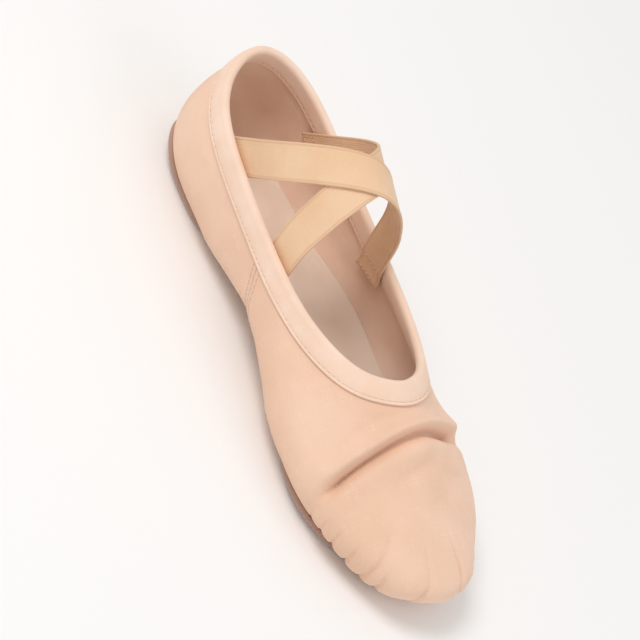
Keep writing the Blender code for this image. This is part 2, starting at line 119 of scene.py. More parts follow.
TOE = len(RIBS) - 1
ROUND = 2 * TOE

TABLE = np.array(RIBS, dtype=float)
MIRROR = TABLE[-2:0:-1].copy()
for sideways in ("half", "rim_half"):
    MIRROR[:, Rib._fields.index(sideways)] *= -1.0
TABLE = np.vstack((TABLE, MIRROR))
print(f"{len(RIBS)} ribs a side, {ROUND} round the slipper")

# %% Read the table as a smooth curve
# A closed cubic spline: one set of equations gives how much it bends at each rib
NEXT_TO = np.roll(np.eye(ROUND), 1, 0) + np.roll(np.eye(ROUND), -1, 0)
BENDS = np.linalg.solve(4.0 * np.eye(ROUND) + NEXT_TO, 6.0 * (NEXT_TO @ TABLE - 2.0 * TABLE))


def rib_at(place):
    """The rib at any place: 0 is the heel's back, TOE the toe's tip, and on round."""
    low = np.floor(place).astype(int)
    part = (place - low)[..., None]
    low = low % ROUND
    high = (low + 1) % ROUND
    line = (1 - part) * TABLE[low] + part * TABLE[high]
    bend = (2 - part) * BENDS[low] + (1 + part) * BENDS[high]
    return Rib(*np.moveaxis(line - part * (1 - part) / 6.0 * bend, -1, 0))


print("between the third rib and the fourth the keel is at", np.round(rib_at(np.array(2.5)).keel, 3))

# %% [markdown]
# Three small curves do most of the shaping below: a soft step, a soft peak, and the height
# of the canvas over the floor, which is flat at the ball and the heel and raised between.

# %% Soft steps, soft peaks and the ground
def ease(share):
    """A soft step from 0 to 1."""
    share = np.clip(share, 0.0, 1.0)
    return share * share * (3.0 - 2.0 * share)


def peak(value, middle, wide):
    """1 at the middle, and softly down to 0 about two widths away."""
    return np.exp(-(((value - middle) / wide) ** 2))


def along(share):
    """The Y of a place given as a share of the length from the back of the heel."""
    return HALF_LENGTH - share * LENGTH


ARCH_FROM = HEEL_PATCH_FRONT / LENGTH
ARCH_TO = (BALL_PATCH_CENTRE - BALL_PATCH_BACK) / LENGTH
ARCH_MIDDLE = along((ARCH_FROM + ARCH_TO) / 2)
SPRING_FROM = (BALL_PATCH_CENTRE + BALL_PATCH_RADIUS) / LENGTH


def ground(y):
    """The height of the canvas under the foot."""
    share = (HALF_LENGTH - y) / LENGTH
    arch = np.sin(np.pi * np.clip((share - ARCH_FROM) / (ARCH_TO - ARCH_FROM), 0.0, 1.0)) ** 2
    spring = np.clip((share - SPRING_FROM) / (1.0 - SPRING_FROM), 0.0, 1.2) ** 2
    return FLOOR_TO_CANVAS + ARCH_LIFT * arch + TOE_SPRING * spring


print(f"the arch is {(ground(ARCH_MIDDLE) - FLOOR_TO_CANVAS) * 1000:.1f} mm above the ball")

# %% The skin of the last
CORNER_SHARE = 0.60
TURN_SHARE = 0.62


def bezier(points, part):
    """A curve that leaves its first point towards the second and reaches its last from the third."""
    rest = 1.0 - part
    weights = (rest ** 3, 3 * rest ** 2 * part, 3 * rest * part ** 2, part ** 3)
    return sum(weight[..., None] * point for weight, point in zip(weights, points))


def stack(*parts):
    """Numbers side by side in one array, such as X, Y and Z."""
    return np.stack(np.broadcast_arrays(*parts), axis=-1)


def skin(place, way):
    """The outer face: way is 0 at the keel, 1 where the flat ends, 2 at the widest, 3 at the rim."""
    place, way = np.broadcast_arrays(np.asarray(place, float), np.asarray(way, float))
    rib = rib_at(place)
    keel_y = along(rib.keel)
    out = stack(rib.half * HALF_BALL, along(rib.out), 0.0)
    out[..., 2] = ground(out[..., 1]) + rib.wide * INSTEP
    rim = stack(rib.rim_half * HALF_BALL, along(rib.rim), rib.rim_rise * HEEL_HEIGHT)

    def flat_point(share):
        y = keel_y + (out[..., 1] - keel_y) * share
        return stack(out[..., 0] * share, y, ground(y))

    corner = flat_point(rib.flat + (1.0 - rib.flat) * CORNER_SHARE)
    below = out - stack(0.0, 0.0, TURN_SHARE * (out[..., 2] - ground(out[..., 1])))
    above = out + stack(0.0, 0.0, rib.crown * INSTEP)
    inward = rim - out
    inward[..., 2] = 0.0
    inward /= np.linalg.norm(inward, axis=-1, keepdims=True) + 1e-9
    slope = np.radians(rib.lean)[..., None]
    reach = (rib.pull * np.linalg.norm(rim - out, axis=-1))[..., None]
    before = rim - reach * (np.sin(slope) * inward + np.cos(slope) * np.array((0.0, 0.0, 1.0)))

    level = flat_point(rib.flat * np.clip(way, 0.0, 1.0))
    turn = bezier((flat_point(rib.flat), corner, below, out), np.clip(way - 1.0, 0.0, 1.0))
    side = bezier((out, above, before, rim), np.clip(way - 2.0, 0.0, 1.0))
    way = way[..., None]
    return np.where(way < 1.0, level, np.where(way < 2.0, turn, side))


print("the toe's tip is at", np.round(skin(float(TOE), 2.0), 4))

# %% Directions and lengths on the skin
def unit(vectors):
    return vectors / np.linalg.norm(vectors, axis=-1, keepdims=True)


def facing(surface, place, way, nudge):
    """The direction out of a surface, from a short step up a rib and one on round the slipper."""
    up = surface(place, way + nudge) - surface(place, way - nudge)
    onward = surface(place + nudge, way) - surface(place - nudge, way)
    return unit(np.cross(up, onward))


def outward(place, way):
    """The direction out of the skin."""
    return facing(skin, place, np.clip(way, 0.05, 2.995), 0.004)


def running(steps):
    """The sum of some steps before each of them and after the last."""
    return np.concatenate((np.zeros((*steps.shape[:-1], 1)), np.cumsum(steps, axis=-1)), axis=-1)


def run_along(points):
    """How far along a line of points each of them lies."""
    return running(np.linalg.norm(np.diff(points, axis=0), axis=1))


def climb(places, ways):
    """The length of each step up some ribs, and how far below the rim each step starts."""
    points = skin(np.asarray(places)[:, None], ways[None, :])
    steps = np.linalg.norm(np.diff(points, axis=1), axis=2)
    return steps, np.cumsum(steps[:, ::-1], axis=1)[:, ::-1]


def from_rim(places, depth):
    """The way along each rib that lies this far below the rim."""
    ways = np.linspace(2.0, 3.0, 61)
    _, below = climb(places, ways)
    return np.array([np.interp(-depth, (*-row, 0.0), ways) for row in below])


def past_rim(place, height, push):
    """A place past the rim: on along the rib by height, and out of its face by push."""
    rim = skin(place, 3.0)
    return rim + height * unit(rim - skin(place, 2.98)) + push * outward(place, 3.0)


RIM_PLACES = np.linspace(0.0, ROUND, 1201)
RIM_RUN = run_along(skin(RIM_PLACES, 3.0))
print(f"the collar is {RIM_RUN[-1] * 1000:.0f} mm round")

# %% [markdown]
# ## Gathers and creases
#
# The toe of a canvas slipper is pulled together over the last with a thread, so it is
# gathered into radial folds round the ball patch. Sculpting would do, but a fold has simple
# facts: a direction, a reach and a depth. A table of them pushes the skin in along its
# grooves, steep on one side and soft on the other, as cloth folds. At the sides the foot
# presses the gathers flat as they rise.

# %% The sizes of the gathers
PUFF = 0.0013
PUFF_START = 0.001
PUFF_RISE = 0.005
PUFF_FALL = 0.016
PUFF_REACH = 0.026
GROOVE_WIDTH = 0.0011
GROOVE_START = 0.0035
GROOVE_FADE = 0.42
STEEP_SIDE = 0.50
SOFT_SIDE = 1.25
BROAD_HOLLOW = 2.3
NARROW_SHARE, BROAD_SHARE = 0.90, 0.30
# The width of the line of painted shade along each fold
FOLD_SHADE_WIDTH = 0.0006
REACH_PER_WAY = 0.040
GATHERS_END_DEGREES = 80.0
PRESSED_FROM_DEGREES = 20.0
FADE_DEGREES = 14.0
SIDE_PRESSED = 0.50
PRESSED_FROM_WAY = 1.40
PRESSED_RISE = 0.60
GATHER_TOP_WAY = 2.50
GATHER_FADE = 0.35
print(f"the gathers puff out by {PUFF * 1000:.1f} mm, with grooves {GROOVE_WIDTH * 1000:.1f} mm wide")

# %% The gathers of the toe
# One row for each pair of grooves: its direction from the ball patch's middle in degrees,
# then the reach, depth and lean of the one at -X and of the one at +X. A groove fades over
# the last part of its reach, and leans more and more on its way out: a lean of 1 has turned
# it by 3 degrees at LEAN_AT from the patch.
LEAN_AT = 0.030
Pleat = namedtuple("Pleat", "side reach_left reach_right depth_left depth_right lean_left lean_right")
PLEATS = (
    Pleat(4.7, 0.024, 0.038, 0.0019, 0.0020, 0.6, 3.6),
    Pleat(14.0, 0.030, 0.025, 0.0018, 0.0019, 3.0, 1.8),
    Pleat(23.5, 0.020, 0.022, 0.0019, 0.0018, -2.0, 1.6),
    Pleat(33.0, 0.025, 0.018, 0.0018, 0.0016, 2.6, -1.2),
    Pleat(42.5, 0.016, 0.016, 0.0016, 0.0016, 2.4, 2.0),
    Pleat(52.5, 0.012, 0.012, 0.0012, 0.0013, -1.8, 2.4),
    Pleat(62.0, 0.010, 0.010, 0.0008, 0.0009, 2.4, 1.6),
    Pleat(71.5, 0.008, 0.008, 0.0004, 0.0005, 1.6, 2.0),
)


def gather(point, way, shade_only=False):
    """How far the toe's gathers push the canvas out, or its grooves pull it in.

    With the last argument set it gives instead the fold lines that the canvas paints with shade, from 1 on
    a line to 0 away from it.
    """
    x = point[..., 0]
    y = point[..., 1] - BALL_MIDDLE_Y
    beyond = np.hypot(x, y) - BALL_PATCH_RADIUS + np.maximum(0.0, way - 2.0) * REACH_PER_WAY
    outside = np.maximum(beyond, 0.0)
    side = np.degrees(np.arctan2(x, -y))
    edge = ease((GATHERS_END_DEGREES - np.abs(side)) / FADE_DEGREES)
    push = PUFF * edge * ease((beyond - PUFF_START) / PUFF_RISE) * ease((PUFF_REACH - beyond) / PUFF_FALL)
    lines = np.zeros_like(push)
    for pleat in PLEATS:
        for hand, reach, depth, lean in (
            (-1.0, pleat.reach_left, pleat.depth_left, pleat.lean_left),
            (1.0, pleat.reach_right, pleat.depth_right, pleat.lean_right),
        ):
            swing = lean * 100.0 * outside ** 2 / LEAN_AT
            aside = np.radians(side - hand * pleat.side - swing) * (BALL_PATCH_RADIUS + outside)
            run = depth * ease(beyond / GROOVE_START + 1.0)
            run = run * ease((reach - beyond) / (GROOVE_FADE * reach))
            wide = np.where(aside * hand > 0.0, STEEP_SIDE, SOFT_SIDE) * GROOVE_WIDTH
            groove = NARROW_SHARE * peak(aside, 0.0, wide)
            groove = groove + BROAD_SHARE * peak(aside, 0.0, BROAD_HOLLOW * GROOVE_WIDTH)
            push = push - run * groove
            # The line of painted shade along the bottom of the groove
            lines = lines + run / depth * peak(aside, 0.0, FOLD_SHADE_WIDTH)
    at_side = ease((np.abs(side) - PRESSED_FROM_DEGREES) / FADE_DEGREES)
    pressed = ease((way - PRESSED_FROM_WAY) / PRESSED_RISE) * at_side
    fade = ease((GATHER_TOP_WAY - way) / GATHER_FADE) * (1.0 - SIDE_PRESSED * pressed)
    return (lines if shade_only else push) * fade


print(f"{2 * len(PLEATS)} grooves round the toe")

# %% [markdown]
# A foot that rises on its toes leaves one deep crease across the vamp and small ones round
# it, and soft ones under the arch. Cloth doesn't stretch, so what a trough takes in stands
# up beside it as a roll. One section serves for all of them: a trough that is steep on the
# heel's side, a roll close behind it, a hollow behind the roll and a low swell before.

# %% The creases of the vamp and the arch
# A crease crosses the slipper at the Y given as middle where X is 0, with a slant and a bow,
# from left to right in X. Then come the depth and width of its trough, and the height of the
# swells behind and before it.
Crease = namedtuple("Crease", "middle slant bow left right trough width behind before")
VAMP_CREASES = (
    Crease(-0.0575, 0.20, -3.0, -0.043, 0.041, 0.0040, 0.0016, 0.0033, 0.0014),
    Crease(-0.0592, 0.14, 0.0, 0.004, 0.042, 0.0015, 0.0024, 0.0002, 0.0003),
    Crease(-0.0700, 0.26, -4.0, -0.020, 0.014, 0.0008, 0.0022, 0.0006, 0.0003),
    Crease(-0.0690, -0.15, 2.0, 0.010, 0.034, 0.0009, 0.0020, 0.0006, 0.0004),
    Crease(-0.0830, 0.10, -2.0, -0.028, 0.002, 0.0004, 0.0034, 0.0003, 0.0003),
    Crease(-0.0500, 0.55, 0.0, -0.044, -0.022, 0.0012, 0.0026, 0.0008, 0.0005),
)
ARCH_CREASES = (
    Crease(-0.0130, -0.55, 0.0, 0.004, 0.046, 0.0005, 0.0022, 0.0014, 0.0016),
    Crease(0.0020, -0.20, 3.0, 0.002, 0.038, 0.0004, 0.0024, 0.0011, 0.0012),
    Crease(-0.0130, 0.50, 0.0, -0.046, -0.004, 0.0005, 0.0022, 0.0016, 0.0013),
    Crease(0.0040, 0.16, 2.0, -0.036, -0.002, 0.0004, 0.0026, 0.0011, 0.0009),
    Crease(0.0200, -0.10, 0.0, -0.030, 0.026, 0.0002, 0.0034, 0.0005, 0.0004),
)
DEEPEST = max(crease.trough for crease in VAMP_CREASES)
print(f"{len(VAMP_CREASES)} creases on the vamp and {len(ARCH_CREASES)} under the arch")

# %% The section of a crease
# A crease fades and widens over its ends. The places and widths of its section are in
# widths of its trough, from its line towards the heel.
CREASE_END = 0.014
END_WIDTH = 2.4
TROUGH_STEEP, TROUGH_SOFT = 0.65, 1.4
ROLL_AT, ROLL_STEEP, ROLL_SOFT = 1.9, 1.25, 1.9
HOLLOW_AT, HOLLOW_SHARE = 6.4, 0.28
BEFORE_AT, SWELL_WIDTH = -3.2, 2.4
# Where the line of painted shade lies in a crease's section, and its width
SHADE_LINE_AT, SHADE_LINE_WIDTH = 0.3, 0.45


def creased(point, creases, shade_only=False):
    """How far some creases push the canvas out or in.

    With the last argument set it gives instead their lines of painted shade, the stronger the deeper they
    are.
    """
    x, y = point[..., 0], point[..., 1]
    push, lines = np.zeros_like(x), np.zeros_like(x)
    for crease in creases:
        line = crease.middle + crease.slant * x + crease.bow * x * x
        full = ease((x - crease.left) / CREASE_END) * ease((crease.right - x) / CREASE_END)
        width = crease.width * (END_WIDTH - (END_WIDTH - 1.0) * full)
        off = (y - line) / math.hypot(1.0, crease.slant) / width
        trough = peak(off, 0.0, np.where(off > 0.0, TROUGH_STEEP, TROUGH_SOFT))
        roll = peak(off, ROLL_AT, np.where(off > ROLL_AT, ROLL_SOFT, ROLL_STEEP))
        roll = roll - HOLLOW_SHARE * peak(off, HOLLOW_AT, SWELL_WIDTH)
        swells = crease.behind * roll + crease.before * peak(off, BEFORE_AT, SWELL_WIDTH)
        push += full * (swells - crease.trough * trough)
        # The line of painted shade along the trough
        lines += full ** 3 * crease.trough / DEEPEST * peak(off, SHADE_LINE_AT, SHADE_LINE_WIDTH)
    return lines if shade_only else push


print(f"the deepest trough is {DEEPEST * 1000:.0f} mm deep")

# %% [markdown]
# ## Panels, patches, and the canvas as a whole
#
# The upper is sewn from a vamp and two quarters. The side seam runs from the middle of the
# arch back up to the collar, so the two of them make a V under the foot, and a centre seam
# joins the quarters under the arch. At each seam the cloth lies double, so it stands up a
# little. The finish needs the distance to each seam too, for its crisp groove and the shade
# painted along it, and a vertex attribute carries it there more exactly than a fine mesh
# could.

# %% The seams
SEAM_AT_KEEL = 0.119
SEAM_AT_RIM = 0.087
SEAM_RIB = 4.1

# The seam slants, so the way across it is this share of the way along Y
SEAM_SLANT = 0.93

# The seam is straight while the cloth lies flat, so it goes back evenly with the girth
SEAM_WAYS = np.linspace(0.0, 3.0, 91)
SEAM_GIRTH = run_along(skin(SEAM_RIB, SEAM_WAYS))
SEAM_FROM_HEEL = SEAM_AT_KEEL + (SEAM_AT_RIM - SEAM_AT_KEEL) * SEAM_GIRTH / SEAM_GIRTH[-1]


def seam_distance(point, way):
    """How far a place lies behind the side seam; in front of it the number is negative."""
    return (point[..., 1] - HALF_LENGTH + np.interp(way, SEAM_WAYS, SEAM_FROM_HEEL)) * SEAM_SLANT


print(f"the side seam is {SEAM_GIRTH[-1] * 1000:.0f} mm round the foot from keel to rim")

# %% The outlines of the patches
# The higher the power of a corner, the sharper it is
BALL_CORNERS = 12
HEEL_BACK_CORNERS = 2.3
HEEL_FRONT_CORNERS = 4.5
NOTCH_SPREAD = 0.55


def ball_reach(x, y, inset=0.0):
    """How far the ball patch goes from its middle: a circle, cut behind, with a notch."""
    reach = BALL_PATCH_RADIUS - inset
    behind = np.maximum(y, 1e-6)
    notch = BALL_PATCH_NOTCH * ease(1.0 - np.abs(x / behind) / NOTCH_SPREAD)
    back = (BALL_PATCH_BACK - inset - notch) / behind
    cut = (reach ** -BALL_CORNERS + back ** -BALL_CORNERS) ** (-1 / BALL_CORNERS)
    return np.where(y > 1e-6, cut, reach)


def heel_reach(x, y, inset=0.0):
    """How far the heel patch goes from its middle: round behind, squarer in front."""
    half = HEEL_PATCH_WIDTH / 2 - inset
    deep = (HEEL_PATCH_FRONT - HEEL_PATCH_BACK) / 2 - inset
    power = np.where(y < 0.0, HEEL_FRONT_CORNERS, HEEL_BACK_CORNERS)
    return (np.abs(x / half) ** power + np.abs(y / deep) ** power) ** (-1 / power)


def beyond_patch(point, middle, reach):
    """How far a place lies outside a patch's outline, in plan."""
    x, y = point[..., 0], point[..., 1] - middle
    far = np.hypot(x, y) + 1e-9
    return far - reach(x / far, y / far)


print(f"the notch leaves {float(ball_reach(0.0, 1.0)) * 1000:.1f} mm of patch behind its middle")

# %% The canvas as it lies
# The folded cloth lies before the side seam and on both sides of the centre seam, and what
# lies on the skin fades away towards the binding and the patches
SEAM_RAISE = 0.0004
SEAM_ALLOWANCE = 0.012
SEAM_FADE = 0.008
SEAM_EDGE = 0.0006
CENTRE_RAISE = 0.0003
CENTRE_ALLOWANCE = 0.0045
CENTRE_FRONT_Y = -0.030
BINDING_FADE = 0.007
PATCH_FADE = 0.005
RIPPLE = 0.00022


def ripple(x, y, z):
    """The faint unevenness of stretched cloth, as the sum of three slanting waves."""
    broad = np.sin(95.0 * y + 60.0 * z + 1.2) * np.sin(170.0 * x + 40.0 * y)
    middling = np.sin(210.0 * y - 150.0 * z + 95.0 * x)
    small = np.sin(330.0 * z + 120.0 * y - 240.0 * x)
    return broad + 0.7 * middling + 0.5 * small


def on_vamp(way):
    """0 under the foot and 1 over it, where the vamp creases."""
    return ease((way - 1.55) / 0.85)


def cloth_push(place, way):
    """How far the canvas stands out from the skin of the last."""
    point = skin(place, way)
    x, y, z = np.moveaxis(point, -1, 0)
    depth = np.linalg.norm(point - skin(place, 3.0), axis=-1)
    from_patches = np.minimum(beyond_patch(point, BALL_MIDDLE_Y, ball_reach),
                              beyond_patch(point, HEEL_MIDDLE_Y, heel_reach))
    under = ease((1.8 - way) / 0.8)
    free = ease((depth - BINDING_WIDTH) / BINDING_FADE)
    clear = free * np.where(way < 1.9, ease((from_patches - 0.0005) / PATCH_FADE), 1.0)
    push = gather(point, way) + clear * RIPPLE * ripple(x, y, z) * (1.0 - 0.6 * under)
    push = push + free * on_vamp(way) * creased(point, VAMP_CREASES)
    push = push + clear * under * creased(point, ARCH_CREASES)
    seam = seam_distance(point, way)
    folded = ease(1.0 - seam / SEAM_EDGE) * ease((seam + SEAM_ALLOWANCE) / SEAM_FADE)
    push = push + clear * SEAM_RAISE * folded
    middle = ease(1.0 - np.abs(x) / CENTRE_ALLOWANCE) * ease((0.9 - way) / 0.3)
    return push + clear * CENTRE_RAISE * middle * ease((y - CENTRE_FRONT_Y) / 0.004)


def cloth(place, way):
    """The outer face of the canvas."""
    return skin(place, way) + cloth_push(place, way)[..., None] * outward(place, way)


print("the toe's tip, with its gathers, is at", np.round(cloth(float(TOE), 2.0), 4))

# %% [markdown]
# ## A small language for finishes
#
# A finish in Blender is a network of nodes. Networks that hold a lot of arithmetic are hard
# to read when every sum is three lines of code, so one class stands for a node's output and
# can be added and multiplied as a number can. Everything else goes through one method that
# takes the kind of node, its settings and its inputs.

# %% A reading
def one_node(operation, reflected=False):
    """An operator that adds one Math node; it is reflected where the reading comes second."""
    def operator(reading, *others):
        values = (*others, reading) if reflected else (reading, *others)
        return reading.finish.maths(operation, *values)
    return operator


class Reading:
    """A value that changes over a surface, ready for arithmetic."""

    def __init__(self, finish, socket):
        self.finish = finish
        self.socket = socket

    __add__ = __radd__ = one_node("ADD")
    __mul__ = __rmul__ = one_node("MULTIPLY")
    __sub__ = one_node("SUBTRACT")
    __rsub__ = one_node("SUBTRACT", reflected=True)
    __truediv__ = one_node("DIVIDE")
    __rtruediv__ = one_node("DIVIDE", reflected=True)
    __pow__ = one_node("POWER")
    __abs__ = one_node("ABSOLUTE")


OPERATORS = [name for name in vars(Reading) if name in dir(float) and name not in dir(object)]
print("a reading answers to", ", ".join(OPERATORS))


# %% Colours as a screen shows them
def paint(red, green, blue):
    """A colour as it shows on a screen, from 0 to 255, turned into the light that it stands for."""
    screen = np.array((red, green, blue)) / 255.0
    light = np.where(screen <= 0.04045, screen / 12.92, ((screen + 0.055) / 1.055) ** 2.4)
    return (*light.tolist(), 1.0)


print("a pale peach is", np.round(paint(244, 208, 182), 3))


# %% A material and its nodes
class Network:
    """A material, with one method for adding any node to it."""

    def __init__(self, name, constants=None):
        """Starts a material; the constants are the same all over it, so they go in directly."""
        self.material = bpy.data.materials.new(name)
        self.material.use_nodes = True
        self.tree = self.material.node_tree
        self.shader = self.tree.nodes["Principled BSDF"]
        for socket, value in (constants or {}).items():
            self.shader.inputs[socket].default_value = value
        self.place = self.put("ShaderNodeTexCoord", out="Object")

    def put(self, kind, settings=None, sockets=None, out=0):
        """Adds a node, sets it up, fills its sockets, and gives back one of its outputs."""
        node = self.tree.nodes.new(kind)
        for key, value in (settings or {}).items():
            setattr(node, key, value)
        for key, value in (sockets or {}).items():
            self.join(value, node.inputs[key])
        return Reading(self, node.outputs[out])

    def join(self, value, socket):
        if isinstance(value, Reading):
            self.tree.links.new(value.socket, socket)
        else:
            socket.default_value = value

    def maths(self, operation, *values):
        return self.put("ShaderNodeMath", {"operation": operation}, dict(enumerate(values)))

    def split(self, vector):
        """The X, Y and Z of a vector."""
        node = self.tree.nodes.new("ShaderNodeSeparateXYZ")
        self.join(vector, node.inputs[0])
        return [Reading(self, output) for output in node.outputs]

    def stored(self, name):
        """A number kept on the mesh's vertices."""
        return self.put("ShaderNodeAttribute", {"attribute_name": name}, None, "Fac")


print("a network can", ", ".join(name for name in vars(Network) if not name.startswith("_")))


# %% A finish that holds the readings
class Finish(Network):
    """A network with the colours, noises, lines and steps that the finishes share."""

    def blend(self, share, first, second):
        """A colour between two others; in a Mix node, colours are inputs 6 and 7."""
        colours = [paint(*colour) if isinstance(colour, tuple) else colour for colour in (first, second)]
        sockets = {0: share, 6: colours[0], 7: colours[1]}
        return self.put("ShaderNodeMix", {"data_type": "RGBA"}, sockets, 2)

    def layered(self, colour, *layers):
        """Lays more colours over one, each by its own share."""
        for share, over in layers:
            colour = self.blend(share, colour, over)
        return colour

    def noise(self, vector, scale, detail=2.0, roughness=0.5):
        settings = {"Vector": vector, "Scale": scale, "Detail": detail, "Roughness": roughness}
        return self.put("ShaderNodeTexNoise", None, settings)

    def streaks(self, x, y, detail, roughness=0.5):
        """Noise that is stretched, because its two coordinates are scaled differently."""
        vector = self.put("ShaderNodeCombineXYZ", None, {0: x, 1: y})
        return self.noise(vector, 1.0, detail, roughness)

    def line(self, distance, width):
        """1 on a line and 0 away from it."""
        return self.maths("EXPONENT", (distance / width) ** 2.0 * -1.0)

    def step(self, value, low, high):
        """A soft step from 0 at low to 1 at high."""
        kind = {"interpolation_type": "SMOOTHSTEP"}
        return self.put("ShaderNodeMapRange", kind, {0: value, 1: low, 2: high})

    def wear(self, colour, roughness, height=None):
        """Joins the colour, the roughness and the relief (in metres) to the shader."""
        self.join(colour, self.shader.inputs["Base Color"])
        self.join(roughness, self.shader.inputs["Roughness"])
        if height is not None:
            relief = self.put("ShaderNodeBump", None, {"Height": height, "Distance": 1.0, "Strength": 1.0})
            self.join(relief, self.shader.inputs["Normal"])
        print(f"{self.material.name}: {len(self.tree.nodes)} nodes")
        return self.material


print("a finish can also", ", ".join(name for name in vars(Finish) if not name.startswith("_")))

# %% [markdown]
# ## Canvas, tape and lining
#
# The canvas is a plain weave: every thread goes over one and under the next. Two rows of
# rounded threads and a chequered rise and fall make it, 0.55 mm apart. The weave has to lie
# in the cloth whichever way the cloth faces, so the finish picks the two coordinates that
# the surface shows most. Thicker threads, called slubs, and a slow drift of tone keep it
# from looking printed. Cotton also has a faint fuzz, which is what the sheen stands for.

# %% Threads and weaves
def cloth_plane(finish):
    """Two coordinates that lie in the cloth, chosen by the way that it faces."""
    x, y, z = finish.split(finish.place)
    normal = finish.split(finish.put("ShaderNodeTexCoord", out="Normal"))
    nx, ny, nz = (abs(part) for part in normal)
    level = finish.maths("GREATER_THAN", nz, finish.maths("MAXIMUM", nx, ny))
    sideways = finish.maths("GREATER_THAN", nx, ny)
    upright = 1.0 - level
    across = level * x + upright * (sideways * y + (1.0 - sideways) * x)
    upward = level * y + upright * z
    return across, upward


def plain_weave(finish, across, upward, pitch):
    """The height of a plain weave, from 0 to 1."""
    warp, weft = across / pitch, upward / pitch
    rise = []
    for own, other, sign in ((warp, weft, 0.4), (weft, warp, -0.4)):
        middle = finish.maths("FRACT", own) * 2.0 - 1.0
        thread = 1.0 - middle * middle
        over = finish.maths("SINE", (other + finish.maths("FLOOR", own)) * math.pi)
        rise.append(thread * (over * sign + 0.6))
    return finish.maths("MAXIMUM", *rise)


# How many slubs there are in a metre, along a thread and across the threads
SLUBS_ALONG, SLUBS_ACROSS = 90.0, 1400.0


def slubs(finish, across, upward):
    """Thick and thin threads, along each of the two directions."""
    level = finish.streaks(across * SLUBS_ALONG, upward * SLUBS_ACROSS, 1.0)
    upright = finish.streaks(across * SLUBS_ACROSS, upward * SLUBS_ALONG, 1.0)
    return (level + upright) * 0.5


print(f"a slub is about {1000 / SLUBS_ALONG:.0f} mm long and {1000 / SLUBS_ACROSS:.1f} mm wide")


# %% The finish of the canvas
CANVAS_PITCH = 0.00055
ARCH_FRONT = (-0.034, -0.028)
SOLE_WAY = 1.15


def canvas_finish():
    finish = Finish("canvas", {
        "Sheen Weight": 0.22, "Sheen Roughness": 0.45, "Sheen Tint": (1.0, 0.93, 0.90, 1.0),
        "Specular IOR Level": 0.25,
    })
    across, upward = cloth_plane(finish)
    weave = plain_weave(finish, across, upward, CANVAS_PITCH)
    slub = slubs(finish, across, upward)
    drift = finish.noise(finish.place, 26.0, 3.0)
    rumple = finish.noise(finish.place, 75.0, 2.0)
    behind_ball = finish.step(finish.split(finish.place)[1], *ARCH_FRONT)
    arch = behind_ball * finish.maths("LESS_THAN", finish.stored("way"), SOLE_WAY)
    # The seam grooves are sunk in the relief and painted with shade in the colour
    centre_seam = finish.line(finish.stored("centre_seam"), 0.00024) * arch
    seams = finish.line(finish.stored("side_seam"), 0.00026) + centre_seam
    # Painted shade along the folds of the gathers and the creases of the vamp
    folds = finish.step(finish.stored("painted_fold_shade"), 0.35, 1.0)
    colour = finish.layered(
        finish.blend(finish.step(drift, 0.35, 0.65), (239, 201, 174), (246, 211, 187)),
        # Painted shade in the hollows between the threads
        ((1.0 - weave) * 0.26, (214, 160, 128)),
        (finish.step(slub, 0.56, 0.72) * 0.35, (252, 224, 202)),
        # Painted shade in the seam grooves
        (seams * 0.50, (206, 156, 126)),
        (folds * 0.42, (196, 138, 108)),
    )
    height = weave * 0.000075 + slub * 0.000060 + rumple * 0.00045 - seams * 0.00030
    return finish.wear(colour, 0.94 - slub * 0.2, height)


CANVAS = canvas_finish()


# %% The lining, the sock and the tape
# The tape is cut on the bias, so its weave is turned by 45 degrees, whose sine is BIAS
TAPE_PITCH = 0.00038
BIAS = 0.7071


def lining_finish(name, pitch, dark, light):
    finish = Finish(name, {"Sheen Weight": 0.12, "Specular IOR Level": 0.2})
    weave = plain_weave(finish, *cloth_plane(finish), pitch)
    drift = finish.noise(finish.place, 40.0, 3.0)
    colour = finish.layered(
        finish.blend(finish.step(drift, 0.3, 0.7), dark, light),
        # Painted shade in the hollows between the threads
        ((1.0 - weave) * 0.18, (196, 160, 138)),
    )
    height = weave * 0.00005 + finish.noise(finish.place, 120.0, 2.0) * 0.00020
    return finish.wear(colour, 0.95 - drift * 0.1, height)


def tape_finish():
    finish = Finish("binding tape", {
        "Sheen Weight": 0.30, "Sheen Roughness": 0.4, "Sheen Tint": (1.0, 0.95, 0.92, 1.0),
        "Specular IOR Level": 0.3,
    })
    across, upward = cloth_plane(finish)
    turned = ((across + upward) * BIAS, (across - upward) * BIAS)
    weave = plain_weave(finish, *turned, TAPE_PITCH)
    drift = finish.noise(finish.place, 45.0, 3.0)
    puckers = finish.noise(finish.place, 330.0, 2.0)
    colour = finish.layered(
        finish.blend(finish.step(drift, 0.35, 0.65), (245, 213, 190), (250, 223, 204)),
        # Painted shade in the hollows between the threads
        ((1.0 - weave) * 0.16, (222, 172, 142)),
    )
    return finish.wear(colour, 0.84 - drift * 0.12, weave * 0.00004 + puckers * 0.00012)


LINING = lining_finish("canvas lining", 0.00045, (235, 201, 178), (243, 214, 194))
SOCK = lining_finish("sock lining", 0.00040, (235, 213, 195), (244, 226, 210))
TAPE = tape_finish()


# %% [markdown]
# ## Suede, elastic and thread
#
# Suede is the flesh side of a split hide: short fibres that lie this way and that, so it
# shows cloudy light and dark strokes and no gloss. Its cut edge is darker: partly its own
# colour, and partly painted shade along the rim of the patch. The elastic is a flat braid:
# fine ribs run along it, small stitches cross them, and its selvedges are tighter and
# darker. Thread is twisted, which a slanted ripple along it suggests.

# %% Suede
RING_RADIUS = 0.0066
RING_WIDTH = 0.00034


